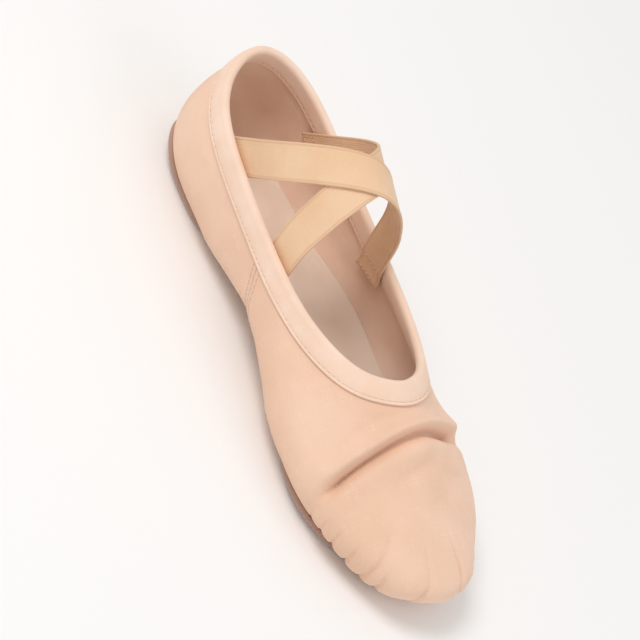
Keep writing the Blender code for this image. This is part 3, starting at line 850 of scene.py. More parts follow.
def suede_finish():
    finish = Finish("suede", {
        "Sheen Weight": 0.35, "Sheen Roughness": 0.6, "Sheen Tint": (1.0, 0.90, 0.86, 1.0),
        "Specular IOR Level": 0.15,
    })
    x, y, _ = finish.split(finish.place)
    strokes = finish.streaks(x * 70.0, y * 160.0, 5.0, 0.6)
    scuffs = finish.streaks(x * 130.0 + y * 60.0, y * 900.0 - x * 300.0, 3.0)
    clouds = finish.noise(finish.place, 38.0, 3.0)
    nap = finish.noise(finish.place, 2600.0, 2.0)
    grain = finish.noise(finish.place, 900.0, 3.0, 0.6)
    ring_y = y - BALL_MIDDLE_Y
    from_middle = finish.maths("SQRT", x * x + ring_y * ring_y)
    ring = finish.line(from_middle - RING_RADIUS, RING_WIDTH)
    # The cut edge is darkened: the suede's own edge colour, and painted shade along the rim
    cut_edge_and_shade = finish.step(finish.stored("cut_edge_and_shade"), 0.2, 0.9)
    tone = finish.step(clouds * 0.5 + strokes * 0.5, 0.34, 0.66)
    colour = finish.layered(
        finish.blend(tone, (217, 187, 173), (224, 196, 184)),
        (finish.step(nap, 0.35, 0.75) * 0.18, (196, 164, 148)),
        (finish.step(grain, 0.58, 0.72) * 0.25, (238, 215, 203)),
        (finish.step(scuffs, 0.60, 0.74) * 0.30, (236, 212, 200)),
        (ring * 0.60, (172, 134, 116)),
        (cut_edge_and_shade * 0.70, (156, 114, 92)),
    )
    height = nap * 0.00010 + grain * 0.00010 - ring * 0.00018
    return finish.wear(colour, 0.98 - clouds * 0.08, height)


SUEDE = suede_finish()


# %% Elastic
BRAID_PITCH = 0.00075
KNIT_PITCH = 0.0011
SELVEDGE_FROM = 0.0064


def elastic_finish():
    finish = Finish("elastic", {"Sheen Weight": 0.18, "Specular IOR Level": 0.35})
    across, run = finish.stored("across_strap"), finish.stored("along_strap")
    rib = abs(finish.maths("SINE", across * (math.pi / BRAID_PITCH)))
    stagger = finish.maths("FLOOR", across / BRAID_PITCH) * 0.5
    knit = abs(finish.maths("SINE", (run / KNIT_PITCH + stagger) * math.pi))
    braid = rib * (knit * 0.5 + 0.5)
    selvedge = finish.step(abs(across), SELVEDGE_FROM, SELVEDGE_FROM + 0.0003)
    edge_line = finish.line(abs(across) - SELVEDGE_FROM, 0.00022)
    drift = finish.noise(finish.place, 60.0, 2.0)
    colour = finish.layered(
        finish.blend(finish.step(drift, 0.3, 0.7), (236, 198, 160), (241, 205, 170)),
        # Painted shade in the furrows between the ribs and the stitches of the braid
        ((1.0 - braid) * 0.24, (218, 170, 130)),
        (selvedge * 0.20 + edge_line * 0.38, (200, 150, 112)),
    )
    return finish.wear(colour, 0.72 - braid * 0.16, braid * 0.00009 - edge_line * 0.00012)


ELASTIC = elastic_finish()


# %% Thread and needle holes
TWIST_PITCH = 0.00030


def thread_finish(name, dark, light):
    finish = Finish(name, {"Sheen Weight": 0.2})
    x, y, z = finish.split(finish.place)
    twist = abs(finish.maths("SINE", (x + y * 1.3 + z * 0.8) * (math.pi / TWIST_PITCH)))
    return finish.wear(finish.blend(twist, dark, light), 0.65 - twist * 0.15, twist * 0.00003)


# A finish for the painted shade inside a needle hole
def hole_shade_finish(name, dark, light):
    finish = Finish(name)
    speck = finish.noise(finish.place, 1500.0, 1.0)
    return finish.wear(finish.blend(speck, dark, light), 1.0 - speck * 0.05)


THREAD = thread_finish("sewing thread", (222, 178, 150), (250, 222, 200))
SOLE_THREAD = thread_finish("sole thread", (204, 176, 156), (236, 216, 200))
SOLE_HOLE_SHADE = hole_shade_finish("painted shade of holes in suede", (132, 98, 80), (158, 124, 105))
CLOTH_HOLE_SHADE = hole_shade_finish("painted shade of holes in cloth", (178, 128, 98), (200, 150, 120))

# %% [markdown]
# ## The canvas upper as a mesh
#
# The ribs stand half a millimetre apart where the toe is gathered and over a millimetre
# apart elsewhere, and the rows up them crowd together where the vamp is creased. The cloth
# is cut away behind the two patches, as it is on the real slipper, where the lasted edge is
# hidden between patch and sock. Solidify then gives the canvas its wall, with a second
# material for the lining.

# %% Ribs and faces
def spaced_places(step, toe_step=None):
    """Ribs round the slipper, at toe_step where the toe is gathered and at step elsewhere."""
    toe_step = toe_step or step
    fine = np.linspace(0.0, TOE, 1601)
    line = skin(fine, 1.3)
    side = np.degrees(np.arctan2(line[:, 0], BALL_MIDDLE_Y - line[:, 1]))
    gathered = ease((GATHERS_END_DEGREES + 8.0 - np.abs(side)) / 12.0)
    widths = np.linalg.norm(np.diff(skin(fine, 2.0), axis=0), axis=1)
    widths = widths / (step + (toe_step - step) * (gathered[1:] + gathered[:-1]) / 2)
    count = running(widths)
    half = np.interp(np.linspace(0.0, count[-1], int(round(count[-1])) + 1), count, fine)
    return np.concatenate((half, ROUND - half[-2:0:-1]))


def ring_faces(rings, columns, closed=True):
    """The faces of a grid whose rows go round, numbered row by row."""
    row = np.arange(rings if closed else rings - 1)[:, None]
    column = np.arange(columns - 1)
    here, after = row * columns + column, (row + 1) % rings * columns + column
    return stack(here, after, after + 1, here + 1).reshape(-1, 4)


print(f"{len(spaced_places(0.002))} ribs stand 2 mm apart round the slipper")


# %% A piece of the slipper
SAME_POINT = 0.000002


def placed(name, data):
    """Puts a mesh, a lamp or a camera into the scene."""
    thing = bpy.data.objects.new(name, data)
    bpy.context.scene.collection.objects.link(thing)
    return thing


def piece_of(name, points, faces, slot, material, lining=None, attributes=None):
    """A smooth mesh that rides on the slipper and wears the finish that it is given; the slot is not used.
    """
    data = bpy.data.meshes.new(name)
    data.from_pydata(np.asarray(points, float).reshape(-1, 3).tolist(), [], np.asarray(faces).tolist())
    for key, values in (attributes or {}).items():
        layer = data.attributes.new(key, "FLOAT", "POINT")
        layer.data.foreach_set("value", np.asarray(values, dtype=np.float32).ravel())
    data.materials.append(material)
    if lining:
        data.materials.append(lining)
    data.shade_smooth()
    thing = placed(name, data)
    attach(thing, "root")
    return thing


def tidied(thing, capped=False):
    """Drops loose points, joins those that coincide, caps holes if asked, and turns faces outward."""
    mesh = bmesh.new()
    mesh.from_mesh(thing.data)
    loose = [vert for vert in mesh.verts if not vert.link_faces]
    bmesh.ops.delete(mesh, geom=loose, context="VERTS")
    bmesh.ops.remove_doubles(mesh, verts=mesh.verts, dist=SAME_POINT)
    if capped:
        bmesh.ops.holes_fill(mesh, edges=[edge for edge in mesh.edges if edge.is_boundary])
    bmesh.ops.recalc_face_normals(mesh, faces=mesh.faces)
    mesh.to_mesh(thing.data)
    mesh.free()
    thing.data.shade_smooth()
    return thing


def report(thing):
    evaluated = thing.evaluated_get(bpy.context.evaluated_depsgraph_get())
    data = evaluated.to_mesh()
    data.calc_loop_triangles()
    print(f"{thing.name}: {len(data.loop_triangles)} triangles")
    evaluated.to_mesh_clear()


print(f"points up to {SAME_POINT * 1000} mm apart become one")

# %% The upper
UPPER_STEP = 0.00165
TOE_STEP = 0.00052
FLAT_ROWS = 16
TURN_ROWS = 24
SIDE_ROWS = 54
CREASE_DEPTH = 0.017
CREASE_SPREAD = 0.011
UNDERNEATH_WAY = 1.2
NO_SEAM_NEAR = 0.05


def rows_up(places, count):
    """The ways of the rows from the widest line to the rim, closer where the vamp creases."""
    ways = np.linspace(2.0, 3.0, 121)
    steps, below = climb(places, ways)
    total = running(steps * (1.0 + 1.4 * peak(below, CREASE_DEPTH, CREASE_SPREAD)))
    wanted = np.linspace(0.0, 1.0, count)
    return np.array([np.interp(wanted * row[-1], row, ways) for row in total])


def make_upper():
    places = spaced_places(UPPER_STEP, TOE_STEP)
    flat = np.arange(FLAT_ROWS) / FLAT_ROWS
    turn = 1.0 + np.arange(TURN_ROWS) / TURN_ROWS
    foot = np.tile(np.concatenate((flat, turn)), (len(places), 1))
    ways = np.hstack((foot, rows_up(places, SIDE_ROWS)))
    around = np.broadcast_to(places[:, None], ways.shape)
    smooth = skin(around, ways)
    faces = ring_faces(*ways.shape)
    underneath = ways < UNDERNEATH_WAY
    hidden = np.zeros(ways.size, bool)
    for middle, reach in ((BALL_MIDDLE_Y, ball_reach), (HEEL_MIDDLE_Y, heel_reach)):
        hidden |= ((beyond_patch(smooth, middle, reach) < -LASTING_MARGIN) & underneath).ravel()
    faces = faces[~hidden[faces].any(axis=1)]
    # The lines of painted shade in the folds and creases, which the canvas finish darkens
    crease_shade = on_vamp(ways) * creased(smooth, VAMP_CREASES, shade_only=True)
    values = {
        "side_seam": seam_distance(smooth, ways),
        "centre_seam": np.where(underneath, np.abs(smooth[..., 0]), NO_SEAM_NEAR),
        "way": ways,
        "painted_fold_shade": gather(smooth, ways, shade_only=True) + 0.8 * crease_shade,
    }
    upper = piece_of("canvas_upper", cloth(around, ways), faces, "canvas", CANVAS, LINING, values)
    tidied(upper)
    wall = upper.modifiers.new("canvas wall", "SOLIDIFY")
    wall.thickness = WALL
    wall.offset = -1.0
    wall.material_offset = 1
    wall.material_offset_rim = 0
    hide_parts("upper")
    return upper


report(make_upper())

# %% [markdown]
# ## The binding
#
# A bias-cut tape is folded over the collar's edge and sewn down near its lower edges. Bias
# tape curves without pleats, but it still puckers a little between the stitches. One closed
# section, carried round the collar, gives the fold its roundness, and a shallow dip along
# the section shows where the stitches pull it down.

# %% The lines of the tape
OUTER = GAP
INNER = -WALL - GAP
TAPE_STITCH_DEPTH = 0.0066
PUCKER = 0.00010
PUCKER_SPREAD = 0.0018
PUCKERS = 5 * round(RIM_RUN[-1] / 0.0130)
SWELLS = 11


def pucker(places, depth):
    """The small wave that the stitches pull into the tape, once in 2.6 mm."""
    turn = np.interp(places, RIM_PLACES, RIM_RUN) * 2 * np.pi / RIM_RUN[-1]
    swell = 0.65 + 0.35 * np.sin(SWELLS * turn)
    return PUCKER * np.sin(PUCKERS * turn) * swell * peak(depth, TAPE_STITCH_DEPTH, PUCKER_SPREAD)


def tape_line(places, lows, depth, push):
    """A line of the tape that lies this far below the rim, out of the skin by push."""
    ways = 3.0 + (lows - 3.0) * depth / BINDING_WIDTH
    return skin(places, ways) + np.asarray(push)[..., None] * outward(places, ways)


print(f"{PUCKERS} puckers round the collar")

# %% The binding as a mesh
# How far below the rim each line of the section lies, and its thickness as a share of the
# tape's. The stitches pull it down to TAPE_DIP.
TAPE_DIP = 0.62
TAPE_DEPTHS = np.array((8.0, 7.95, 7.7, 7.3, 6.9, 6.6, 6.2, 5.5, 4.6, 3.6, 2.6, 1.6, 0.7)) / 1000
TAPE_PUFFS = (0.0, 0.55, 0.85, 0.88, 0.70, TAPE_DIP, 0.75, 1.02, 1.18, 1.26, 1.26, 1.18, 1.06)
FOLD_TURNS = np.radians((0.0, 25.0, 50.0, 75.0, 105.0, 130.0, 155.0, 180.0))
CORE_DEPTH = 0.004


def make_binding():
    places = spaced_places(0.0010)
    lows = from_rim(places, BINDING_WIDTH)
    half = (OUTER - INNER) / 2 + BINDING
    centre = (OUTER + INNER) / 2
    section = []
    for depth, puff in zip(TAPE_DEPTHS, TAPE_PUFFS):
        push = OUTER + BINDING * puff + pucker(places, depth)
        section.append(tape_line(places, lows, depth, push))
    for turn in FOLD_TURNS:
        section.append(past_rim(places, half * np.sin(turn), centre + half * np.cos(turn)))
    for depth, puff in zip(TAPE_DEPTHS[::-1], TAPE_PUFFS[::-1]):
        push = INNER - BINDING * min(puff, 1.0) - pucker(places, depth)
        section.append(tape_line(places, lows, depth, push))
    section.append(tape_line(places, lows, CORE_DEPTH, INNER))
    section.append(past_rim(places, GAP, INNER))
    section.append(past_rim(places, GAP, OUTER))
    section.append(tape_line(places, lows, CORE_DEPTH, OUTER))
    section.append(section[0])
    points = np.stack(section, axis=1)
    binding = piece_of("collar_tape", points, ring_faces(*points.shape[:2]), "binding_tape", TAPE)
    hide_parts("collar_binding")
    return tidied(binding)


report(make_binding())

# %% [markdown]
# ## The suede patches
#
# Both patches are flat cut pieces of suede, glued and sewn to the lasted canvas, so they
# follow its shape up at the sides. A thickened plane would do for the flat of them. Here
# each is a closed fan of fine rings laid against the skin, so its edge can be rounded. A ray
# from below finds the skin over each point, and the normals of the corners that it hits are
# blended, so that the suede stays smooth. The sewing thread sits in a pressed groove.

# %% A way to lay things against the skin
def ready_for_rays(points):
    """A grid of points as a tree that rays can meet, and the corners of its triangles."""
    quads = ring_faces(*points.shape[:2])
    triangles = np.vstack((quads[:, (0, 1, 2)], quads[:, (0, 2, 3)]))
    return BVHTree.FromPolygons(points.reshape(-1, 3).tolist(), triangles.tolist()), triangles


class Bed:
    """A face that other pieces lie on: it answers a ray with a place and a smooth normal."""

    def __init__(self, places, ways):
        points = skin(places[:, None], ways)
        self.tree, self.triangles = ready_for_rays(points)
        self.corners = points.reshape(-1, 3)
        self.normals = outward(places[:, None], ways).reshape(-1, 3)

    def over(self, x, y):
        place, _, index, _ = self.tree.ray_cast(Vector((x, y, -0.05)), Vector((0.0, 0.0, 1.0)))
        a, b, c = (self.corners[corner] for corner in self.triangles[index])
        sides = np.stack((b - a, c - a), axis=1)
        shares, *_ = np.linalg.lstsq(sides, np.array(place) - a, rcond=None)
        weights = np.array((1.0 - shares.sum(), *shares))
        return np.array(place), unit(weights @ self.normals[self.triangles[index]])


UNDERSIDE = Bed(spaced_places(0.0018), np.linspace(0.0, 2.0, 61))
print(f"a bed of {len(UNDERSIDE.triangles)} triangles")

# %% The patches as meshes
# A row of a patch is an inset from its outline, a share of the way out to there, and a depth
# below the skin. The rows go from the middle of the hidden face round the edge, over the
# groove that the thread lies in, and back to the middle.
SOLE_STITCH_INSET = 0.0030
STITCH_GROOVE = 0.00016
PATCH_FACE = GAP + PATCH
ROUNDED_INSET = 0.0003
FLAT_INSET = 0.0046
NEAR_MIDDLE = 0.001
PATCH_ROWS = [(0.0, share, GAP) for share in (NEAR_MIDDLE, 0.3, 0.6, 0.8, 1.0)]
PATCH_ROWS += [(0.0, 1.0, GAP + share * PATCH) for share in (0.25, 0.72)]
PATCH_ROWS += [(0.00012, 1.0, PATCH_FACE - 0.00016)]
PATCH_ROWS += [(inset, 1.0, PATCH_FACE) for inset in (0.00045, 0.0012, 0.0019)]
for aside in (-0.0006, -0.0003, 0.0, 0.0003, 0.0006):
    groove_depth = PATCH_FACE - STITCH_GROOVE * peak(aside, 0.0, 0.00035)
    PATCH_ROWS.append((SOLE_STITCH_INSET + aside, 1.0, groove_depth))
PATCH_ROWS += [(FLAT_INSET, 1.0 - step / 10, PATCH_FACE) for step in range(10)]
PATCH_ROWS.append((FLAT_INSET, NEAR_MIDDLE, PATCH_FACE))


def patch_point(middle, reach, angle, inset, share, depth):
    """A place of a patch and its normal: so far round, inset, so far out, and so deep."""
    x, y = math.sin(angle), -math.cos(angle)
    far = float(reach(np.array(x), np.array(y), inset)) * share
    place, normal = UNDERSIDE.over(far * x, middle + far * y)
    return place + depth * normal, normal


def make_patch(name, node, middle, reach, corners):
    angles = (np.arange(corners) + 0.5) * 2 * math.pi / corners
    points = np.array([[patch_point(middle, reach, angle, *row)[0] for row in PATCH_ROWS]
                       for angle in angles])
    # The rows on the cut edge, which the suede darkens as edge colour and painted shade
    on_edge = [1.0 if inset < ROUNDED_INSET else 0.0 for inset, _, _ in PATCH_ROWS]
    values = {"cut_edge_and_shade": np.tile(on_edge, corners)}
    faces = ring_faces(*points.shape[:2])
    patch = piece_of(name, points, faces, "suede", SUEDE, attributes=values)
    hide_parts(node)
    report(tidied(patch, capped=True))


make_patch("ball_suede", "ball_patch", BALL_MIDDLE_Y, ball_reach, 240)
make_patch("heel_suede", "heel_patch", HEEL_MIDDLE_Y, heel_reach, 180)

# %% [markdown]
# ## The sock
#
# The sock is the thin lining that the foot stands on. The photo doesn't show it, so it is
# plain: two faces of the skin, moved in by the wall, with a rounded edge.

# %% The sock as a mesh
EDGE_ROUND = 0.0005


def make_sock():
    places = spaced_places(0.0022)
    shares = np.concatenate((np.linspace(0.0, 0.9, 16), (0.94, 0.97, 0.99, 1.0)))
    ways = rib_at(places).sock[:, None] * shares[None, :]
    slack = EDGE_ROUND * np.clip((shares - 0.97) / 0.03, 0.0, 1.0) ** 2
    sides = []
    for depth in (WALL + GAP + slack, WALL + GAP + INSOLE - slack):
        side = skin(places[:, None], ways) - depth[..., None] * outward(places[:, None], ways)
        side[:, 0, 0] = 0.0
        sides.append(side)
    points = np.concatenate((sides[0], sides[1][:, ::-1]), axis=1)
    sock = piece_of("sock", points, ring_faces(*points.shape[:2]), "sock_lining", SOCK)
    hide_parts("insole")
    return tidied(sock)


report(make_sock())

# %% [markdown]
# ## The elastics
#
# Two flat elastics cross over the instep. Without a foot they still keep the form that it
# gives them, so each is a straight band on an unrolled oval tube, and its ends slide inside
# the collar, where they are sewn. The band is thicker at its two selvedges.

# %% The oval of the instep
CROSSING_HEIGHT = 0.0760
CROSSING_FROM_HEEL = 0.0830
INSTEP_TUBE_HALF = 0.0228
INSTEP_TUBE_RISE = 0.0360
INSTEP_TUBE_LEAN = math.radians(15.0)
OVAL_ANGLES = np.linspace(0.0, np.pi / 2, 400)
OVAL = stack(INSTEP_TUBE_HALF * np.sin(OVAL_ANGLES), 0.0, INSTEP_TUBE_RISE * np.cos(OVAL_ANGLES))
OVAL_LENGTHS = run_along(OVAL)
QUARTER = OVAL_LENGTHS[-1]


def on_instep(around, down, push):
    """A place on the instep tube: around it from its top, down towards the toe, and out."""
    angle = np.interp(np.minimum(np.abs(around), QUARTER), OVAL_LENGTHS, OVAL_ANGLES)
    leg = np.maximum(0.0, np.abs(around) - QUARTER)
    side = np.where(around >= 0.0, 1.0, -1.0)
    away = unit(stack(np.sin(angle) / INSTEP_TUBE_HALF, np.cos(angle) / INSTEP_TUBE_RISE))
    x = side * (INSTEP_TUBE_HALF * np.sin(angle) + push * away[..., 0])
    high = INSTEP_TUBE_RISE * (np.cos(angle) - 1.0) + push * away[..., 1] - leg
    sin, cos = math.sin(INSTEP_TUBE_LEAN), math.cos(INSTEP_TUBE_LEAN)
    y = HALF_LENGTH - CROSSING_FROM_HEEL - high * sin - down * cos
    return stack(x, y, CROSSING_HEIGHT + high * cos - down * sin)


print(f"a quarter of the oval is {QUARTER * 1000:.1f} mm")

# %% The seat inside the collar
SEAT_TOP = HEEL_HEIGHT + 0.008
SEAT_BLEND = 0.018
SEAT_RISE = 0.020
COLLAR_PUSH = -(WALL + GAP + BINDING + 1.6 * GAP)


def collar_face():
    """The face of the inside of the collar, carried on above the rim."""
    places = spaced_places(0.0020)
    lines = [skin(places, way) + COLLAR_PUSH * outward(places, way) for way in np.linspace(2.0, 3.0, 13)]
    lines += [past_rim(places, rise, COLLAR_PUSH) for rise in (0.3 * SEAT_RISE, SEAT_RISE)]
    return np.stack(lines, axis=1)


COLLAR, _ = ready_for_rays(collar_face())


def seated(point, depth, hand):
    """Moves a strap's point onto the inside of the collar, the more the lower it lies."""
    x, y, z = point
    blend = float(ease((SEAT_TOP - z) / SEAT_BLEND))
    if blend > 0.0:
        side = 1.0 if x > 0.0 else -1.0
        hit = COLLAR.ray_cast(Vector((0.0, y, min(z, SEAT_TOP))), Vector((side, 0.0, 0.0)))[0]
        if hit is not None:
            x = (1.0 - blend) * x + blend * (hit.x - side * depth)
    return np.array((hand * x, y, z))


print("a point over the heel, moved onto the collar:", np.round(seated((0.02, 0.05, 0.04), 0.0, 1), 4))

# %% The elastics as meshes
STRAP_WIDTH = 0.0150
STRAP = 0.0011
STRAP_SLOPE = 0.45
STRAP_SLANT = math.hypot(1.0, STRAP_SLOPE)
REAR_TAIL = 0.0245
FRONT_TAIL = 0.0085
REAR_END = -(QUARTER + REAR_TAIL)
FRONT_END = QUARTER + FRONT_TAIL

# Once round the band's section: the widths as shares of its half, and the depths of its
# hollows as shares of its thickness
BAND_WIDTHS = np.array((-1, -0.97, -0.90, -0.80, -0.5, 0, 0.5, 0.80, 0.90, 0.97, 1)) * STRAP_WIDTH / 2
BAND_HOLLOWS = np.array((0.30, 0.06, 0.0, 0.10, 0.10, 0.10, 0.10, 0.10, 0.0, 0.06, 0.30)) * STRAP
MIDDLE_HOLLOW = BAND_HOLLOWS[len(BAND_HOLLOWS) // 2]


def strap_point(hand, layer, step, width, depth):
    """A place of an elastic, by its length, its width and how far out it lies in the band."""
    around = step - width * STRAP_SLOPE / STRAP_SLANT
    down = step * STRAP_SLOPE + width / STRAP_SLANT
    return seated(on_instep(np.array(around), np.array(down), layer + depth), STRAP - depth, hand)


def make_strap(name, node, hand, layer):
    steps = np.linspace(REAR_END, FRONT_END, 150)
    section = list(zip(BAND_WIDTHS, BAND_HOLLOWS))
    section += list(zip(BAND_WIDTHS[::-1], STRAP - BAND_HOLLOWS))
    section.append(section[0])
    points = np.array([[strap_point(hand, layer, step, *place) for place in section] for step in steps])
    rows, columns = points.shape[:2]
    values = {
        "across_strap": np.tile([width for width, _ in section], rows),
        "along_strap": np.repeat(steps * STRAP_SLANT, columns),
    }
    faces = ring_faces(rows, columns, closed=False).tolist()
    # A short row of faces across the band closes each of its two ends
    for first in (0, (rows - 1) * columns):
        last = first + columns - 2
        faces += [(first + i, first + i + 1, last - 1 - i, last - i) for i in range(columns // 2 - 1)]
    strap = piece_of(name, points, faces, "elastic", ELASTIC, attributes=values)
    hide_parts(node)
    report(tidied(strap))


UNDER_LAYER = (-1, 0.0)
OVER_LAYER = (1, STRAP + GAP)
make_strap("under_strap", "elastic_strap_under", *UNDER_LAYER)
make_strap("over_strap", "elastic_strap_over", *OVER_LAYER)

# %% [markdown]
# ## Stitches
#
# Sewing is what tells a viewer how big a shoe is, so every row is real geometry. A stitch
# is a short bent thread that dips into the cloth at both ends. Thousands of small objects
# would be slow, so all the rows of a kind are one joined mesh: a line is measured off at an
# even pitch, and a small tube is laid at every step. A small disc at each end, where the
# needle went in, is painted dark as the shade inside the hole.

# %% Threads along a line
THREAD_RINGS = 7
THREAD_SIDES = 6
THREAD_POINTS = THREAD_RINGS * THREAD_SIDES

# Two faces close the first ring of a thread, and two, turned round, close its last
THREAD_ENDS = np.array(((0, 3, 2, 1), (0, 5, 4, 3), (0, 1, 2, 3), (0, 3, 4, 5)))
THREAD_ENDS[2:] += THREAD_POINTS - THREAD_SIDES


def read_line(values, run, where):
    """The places or directions of a line at these distances along it."""
    return np.stack([np.interp(where, run, values[:, axis]) for axis in range(3)], axis=-1)


def threads(lines, pitch, length, radius):
    """The points and faces of every stitch of some rows, and the places of their ends.

    The middle of a stitch stands up, and its ends grow thin and dip into the cloth.
    """
    reach = np.linspace(-0.5, 0.5, THREAD_RINGS)
    turns = np.arange(THREAD_SIDES) * 2 * math.pi / THREAD_SIDES
    rise = radius * (0.55 - 1.7 * np.abs(reach * 2) ** 3)
    slim = radius * (1.0 - 0.35 * np.abs(reach * 2) ** 4)
    points, faces, ends, first = [], [], [], 0
    for line, normals in lines:
        run = run_along(line)
        count = max(1, int(run[-1] / pitch))
        middles = (np.arange(count) + 0.5) * run[-1] / count
        where = middles[:, None] + reach[None, :] * length
        centre = read_line(line, run, where)
        up = unit(read_line(normals, run, where))
        tangent = unit(np.gradient(centre, axis=1))
        side = unit(np.cross(up, tangent))
        ring = np.cos(turns)[:, None] * side[:, :, None, :] + np.sin(turns)[:, None] * up[:, :, None, :]
        tube = centre[:, :, None, :] + rise[:, None, None] * up[:, :, None, :] + slim[:, None, None] * ring
        points.append(tube.reshape(-1, 3))
        start = first + np.arange(count)[:, None, None] * THREAD_POINTS
        base = start + np.arange(THREAD_RINGS - 1)[None, :, None] * THREAD_SIDES
        now = np.arange(THREAD_SIDES)[None, None, :]
        after = (now + 1) % THREAD_SIDES
        quads = stack(base + now, base + after, base + THREAD_SIDES + after, base + THREAD_SIDES + now)
        faces += [quads.reshape(-1, 4), (start + THREAD_ENDS).reshape(-1, 4)]
        first += count * THREAD_POINTS
        for end in (0, -1):
            ends.append(np.stack((centre[:, end], up[:, end], tangent[:, end]), axis=1))
    return np.concatenate(points), np.concatenate(faces), np.concatenate(ends)


print(f"a stitch has {THREAD_POINTS} points")

# %% Rows of stitches and their needle marks
MARK_SIDES = 9
MARK_STRETCH = 1.25
MARK_LIFT = 0.00004


def needle_marks(ends, radius, lift):
    """Small discs painted dark as the shade in a needle hole, one at each end of a stitch."""
    turns = np.arange(MARK_SIDES) * 2 * math.pi / MARK_SIDES
    centre, up, tangent = ends[:, 0], ends[:, 1], ends[:, 2]
    side = np.cross(up, tangent)
    longways = MARK_STRETCH * np.sin(turns)[None, :, None] * tangent[:, None]
    ring = np.cos(turns)[None, :, None] * side[:, None] + longways
    rim = centre[:, None] + lift * up[:, None] + radius * ring
    points = np.concatenate((rim, (centre + 0.3 * lift * up)[:, None]), axis=1)
    base = np.arange(len(ends))[:, None] * (MARK_SIDES + 1)
    now = np.arange(MARK_SIDES)[None, :]
    return points, stack(base + now, base + (now + 1) % MARK_SIDES, base + MARK_SIDES).reshape(-1, 3)


def sew(row, slot, lines, thread, hole, pitch, length, radius, mark, lift=MARK_LIFT):
    """Makes two joined meshes: the stitches of some rows, and discs of painted shade where the needle went
    in.
    """
    points, faces, ends = threads(lines, pitch, length, radius)
    piece_of(f"{row}_stitches", points, faces, slot, thread)
    piece_of(f"{row}_needle_hole_shade", *needle_marks(ends, mark, lift), slot, hole)
    print(f"{row}: {len(ends) // 2} stitches")


print(f"a needle mark has {MARK_SIDES} corners, and is {MARK_STRETCH} times as long as it is wide")


# %% The rows on the soles
def sole_line(middle, reach):
    row = (SOLE_STITCH_INSET, 1.0, PATCH_FACE - STITCH_GROOVE)
    places = [patch_point(middle, reach, angle, *row) for angle in np.linspace(0.0, 2 * math.pi, 361)]
    return np.array([place for place, _ in places]), np.array([normal for _, normal in places])


SOLE_LINES = [sole_line(BALL_MIDDLE_Y, ball_reach), sole_line(HEEL_MIDDLE_Y, heel_reach)]
sew("sole", "suede", SOLE_LINES, SOLE_THREAD, SOLE_HOLE_SHADE,
    pitch=0.0035, length=0.0032, radius=0.00023, mark=0.00038, lift=STITCH_GROOVE + MARK_LIFT)

# %% The rows on the canvas
V_POINT = HALF_LENGTH - SEAM_AT_KEEL
HEEL_PATCH_EDGE = HALF_LENGTH - HEEL_PATCH_FRONT - 0.001
BALL_PATCH_EDGE = BALL_MIDDLE_Y + BALL_PATCH_BACK - BALL_PATCH_NOTCH + 0.001


def on_cloth(places, ways):
    """A line on the canvas, with the directions out of it."""
    return cloth(places, ways), facing(cloth, places, ways, 0.006)


def side_line(hand, off):
    """A row beside the side seam, from the middle of the arch to the binding."""
    fine = np.linspace(2.2, 7.5, 500)
    places, ways = [], []
    for way in np.linspace(0.12, 2.99, 140):
        target = HALF_LENGTH - np.interp(way, SEAM_WAYS, SEAM_FROM_HEEL) + off / SEAM_SLANT
        place = np.interp(-target, -skin(fine, way)[:, 1], fine)
        if np.linalg.norm(skin(place, way) - skin(place, 3.0)) > BINDING_WIDTH + 0.0008:
            places.append(place if hand > 0 else ROUND - place)
            ways.append(way)
    return on_cloth(np.array(places), np.array(ways))


def centre_line(x, start, end):
    """A row beside the centre seam, on the canvas between the two patches."""
    fine = np.linspace(2.2, 7.8, 500)
    keels = np.interp(-np.linspace(start, end, 60), -skin(fine, 0.0)[:, 1], fine)
    ways = abs(x) / np.abs(skin(keels, 1.0)[:, 0])
    return on_cloth(keels if x > 0 else ROUND - keels, ways)


SEAM_LINES = [side_line(hand, off) for hand in (1, -1) for off in (-0.0022, 0.0024)]
SEAM_LINES.append(centre_line(0.0016, HEEL_PATCH_EDGE, V_POINT + 0.003))
SEAM_LINES.append(centre_line(0.0020, V_POINT - 0.003, BALL_PATCH_EDGE))
SEAM_LINES.append(centre_line(-0.0020, V_POINT - 0.003, BALL_PATCH_EDGE))
sew("seam", "canvas", SEAM_LINES, THREAD, CLOTH_HOLE_SHADE,
    pitch=0.0026, length=0.0018, radius=0.00017, mark=0.00022)


# %% The rows on the binding
def tape_row(side):
    """A row on the outer (1) or the inner (-1) face of the binding."""
    places = np.append(spaced_places(0.0006), ROUND)
    lows = from_rim(places, BINDING_WIDTH)
    face = OUTER if side > 0 else INNER
    push = face + side * (TAPE_DIP * BINDING + pucker(places, TAPE_STITCH_DEPTH))
    return tape_line(places, lows, TAPE_STITCH_DEPTH, push), side * outward(places, 2.7)


sew("tape", "binding_tape", [tape_row(1), tape_row(-1)], THREAD, CLOTH_HOLE_SHADE,
    pitch=0.0026, length=0.0019, radius=0.00016, mark=0.00020)

# %% The boxes that hold the elastics
# The corners of a box: how far each lies from the elastic's end, and where across it
BOX_NEAR, BOX_FAR, BOX_HALF = 0.0012, 0.0070, 0.0058
BOX_CORNERS = [(BOX_NEAR, -BOX_HALF), (BOX_NEAR, BOX_HALF), (BOX_FAR, BOX_HALF), (BOX_FAR, -BOX_HALF)]
BOX_CORNERS.append(BOX_CORNERS[0])


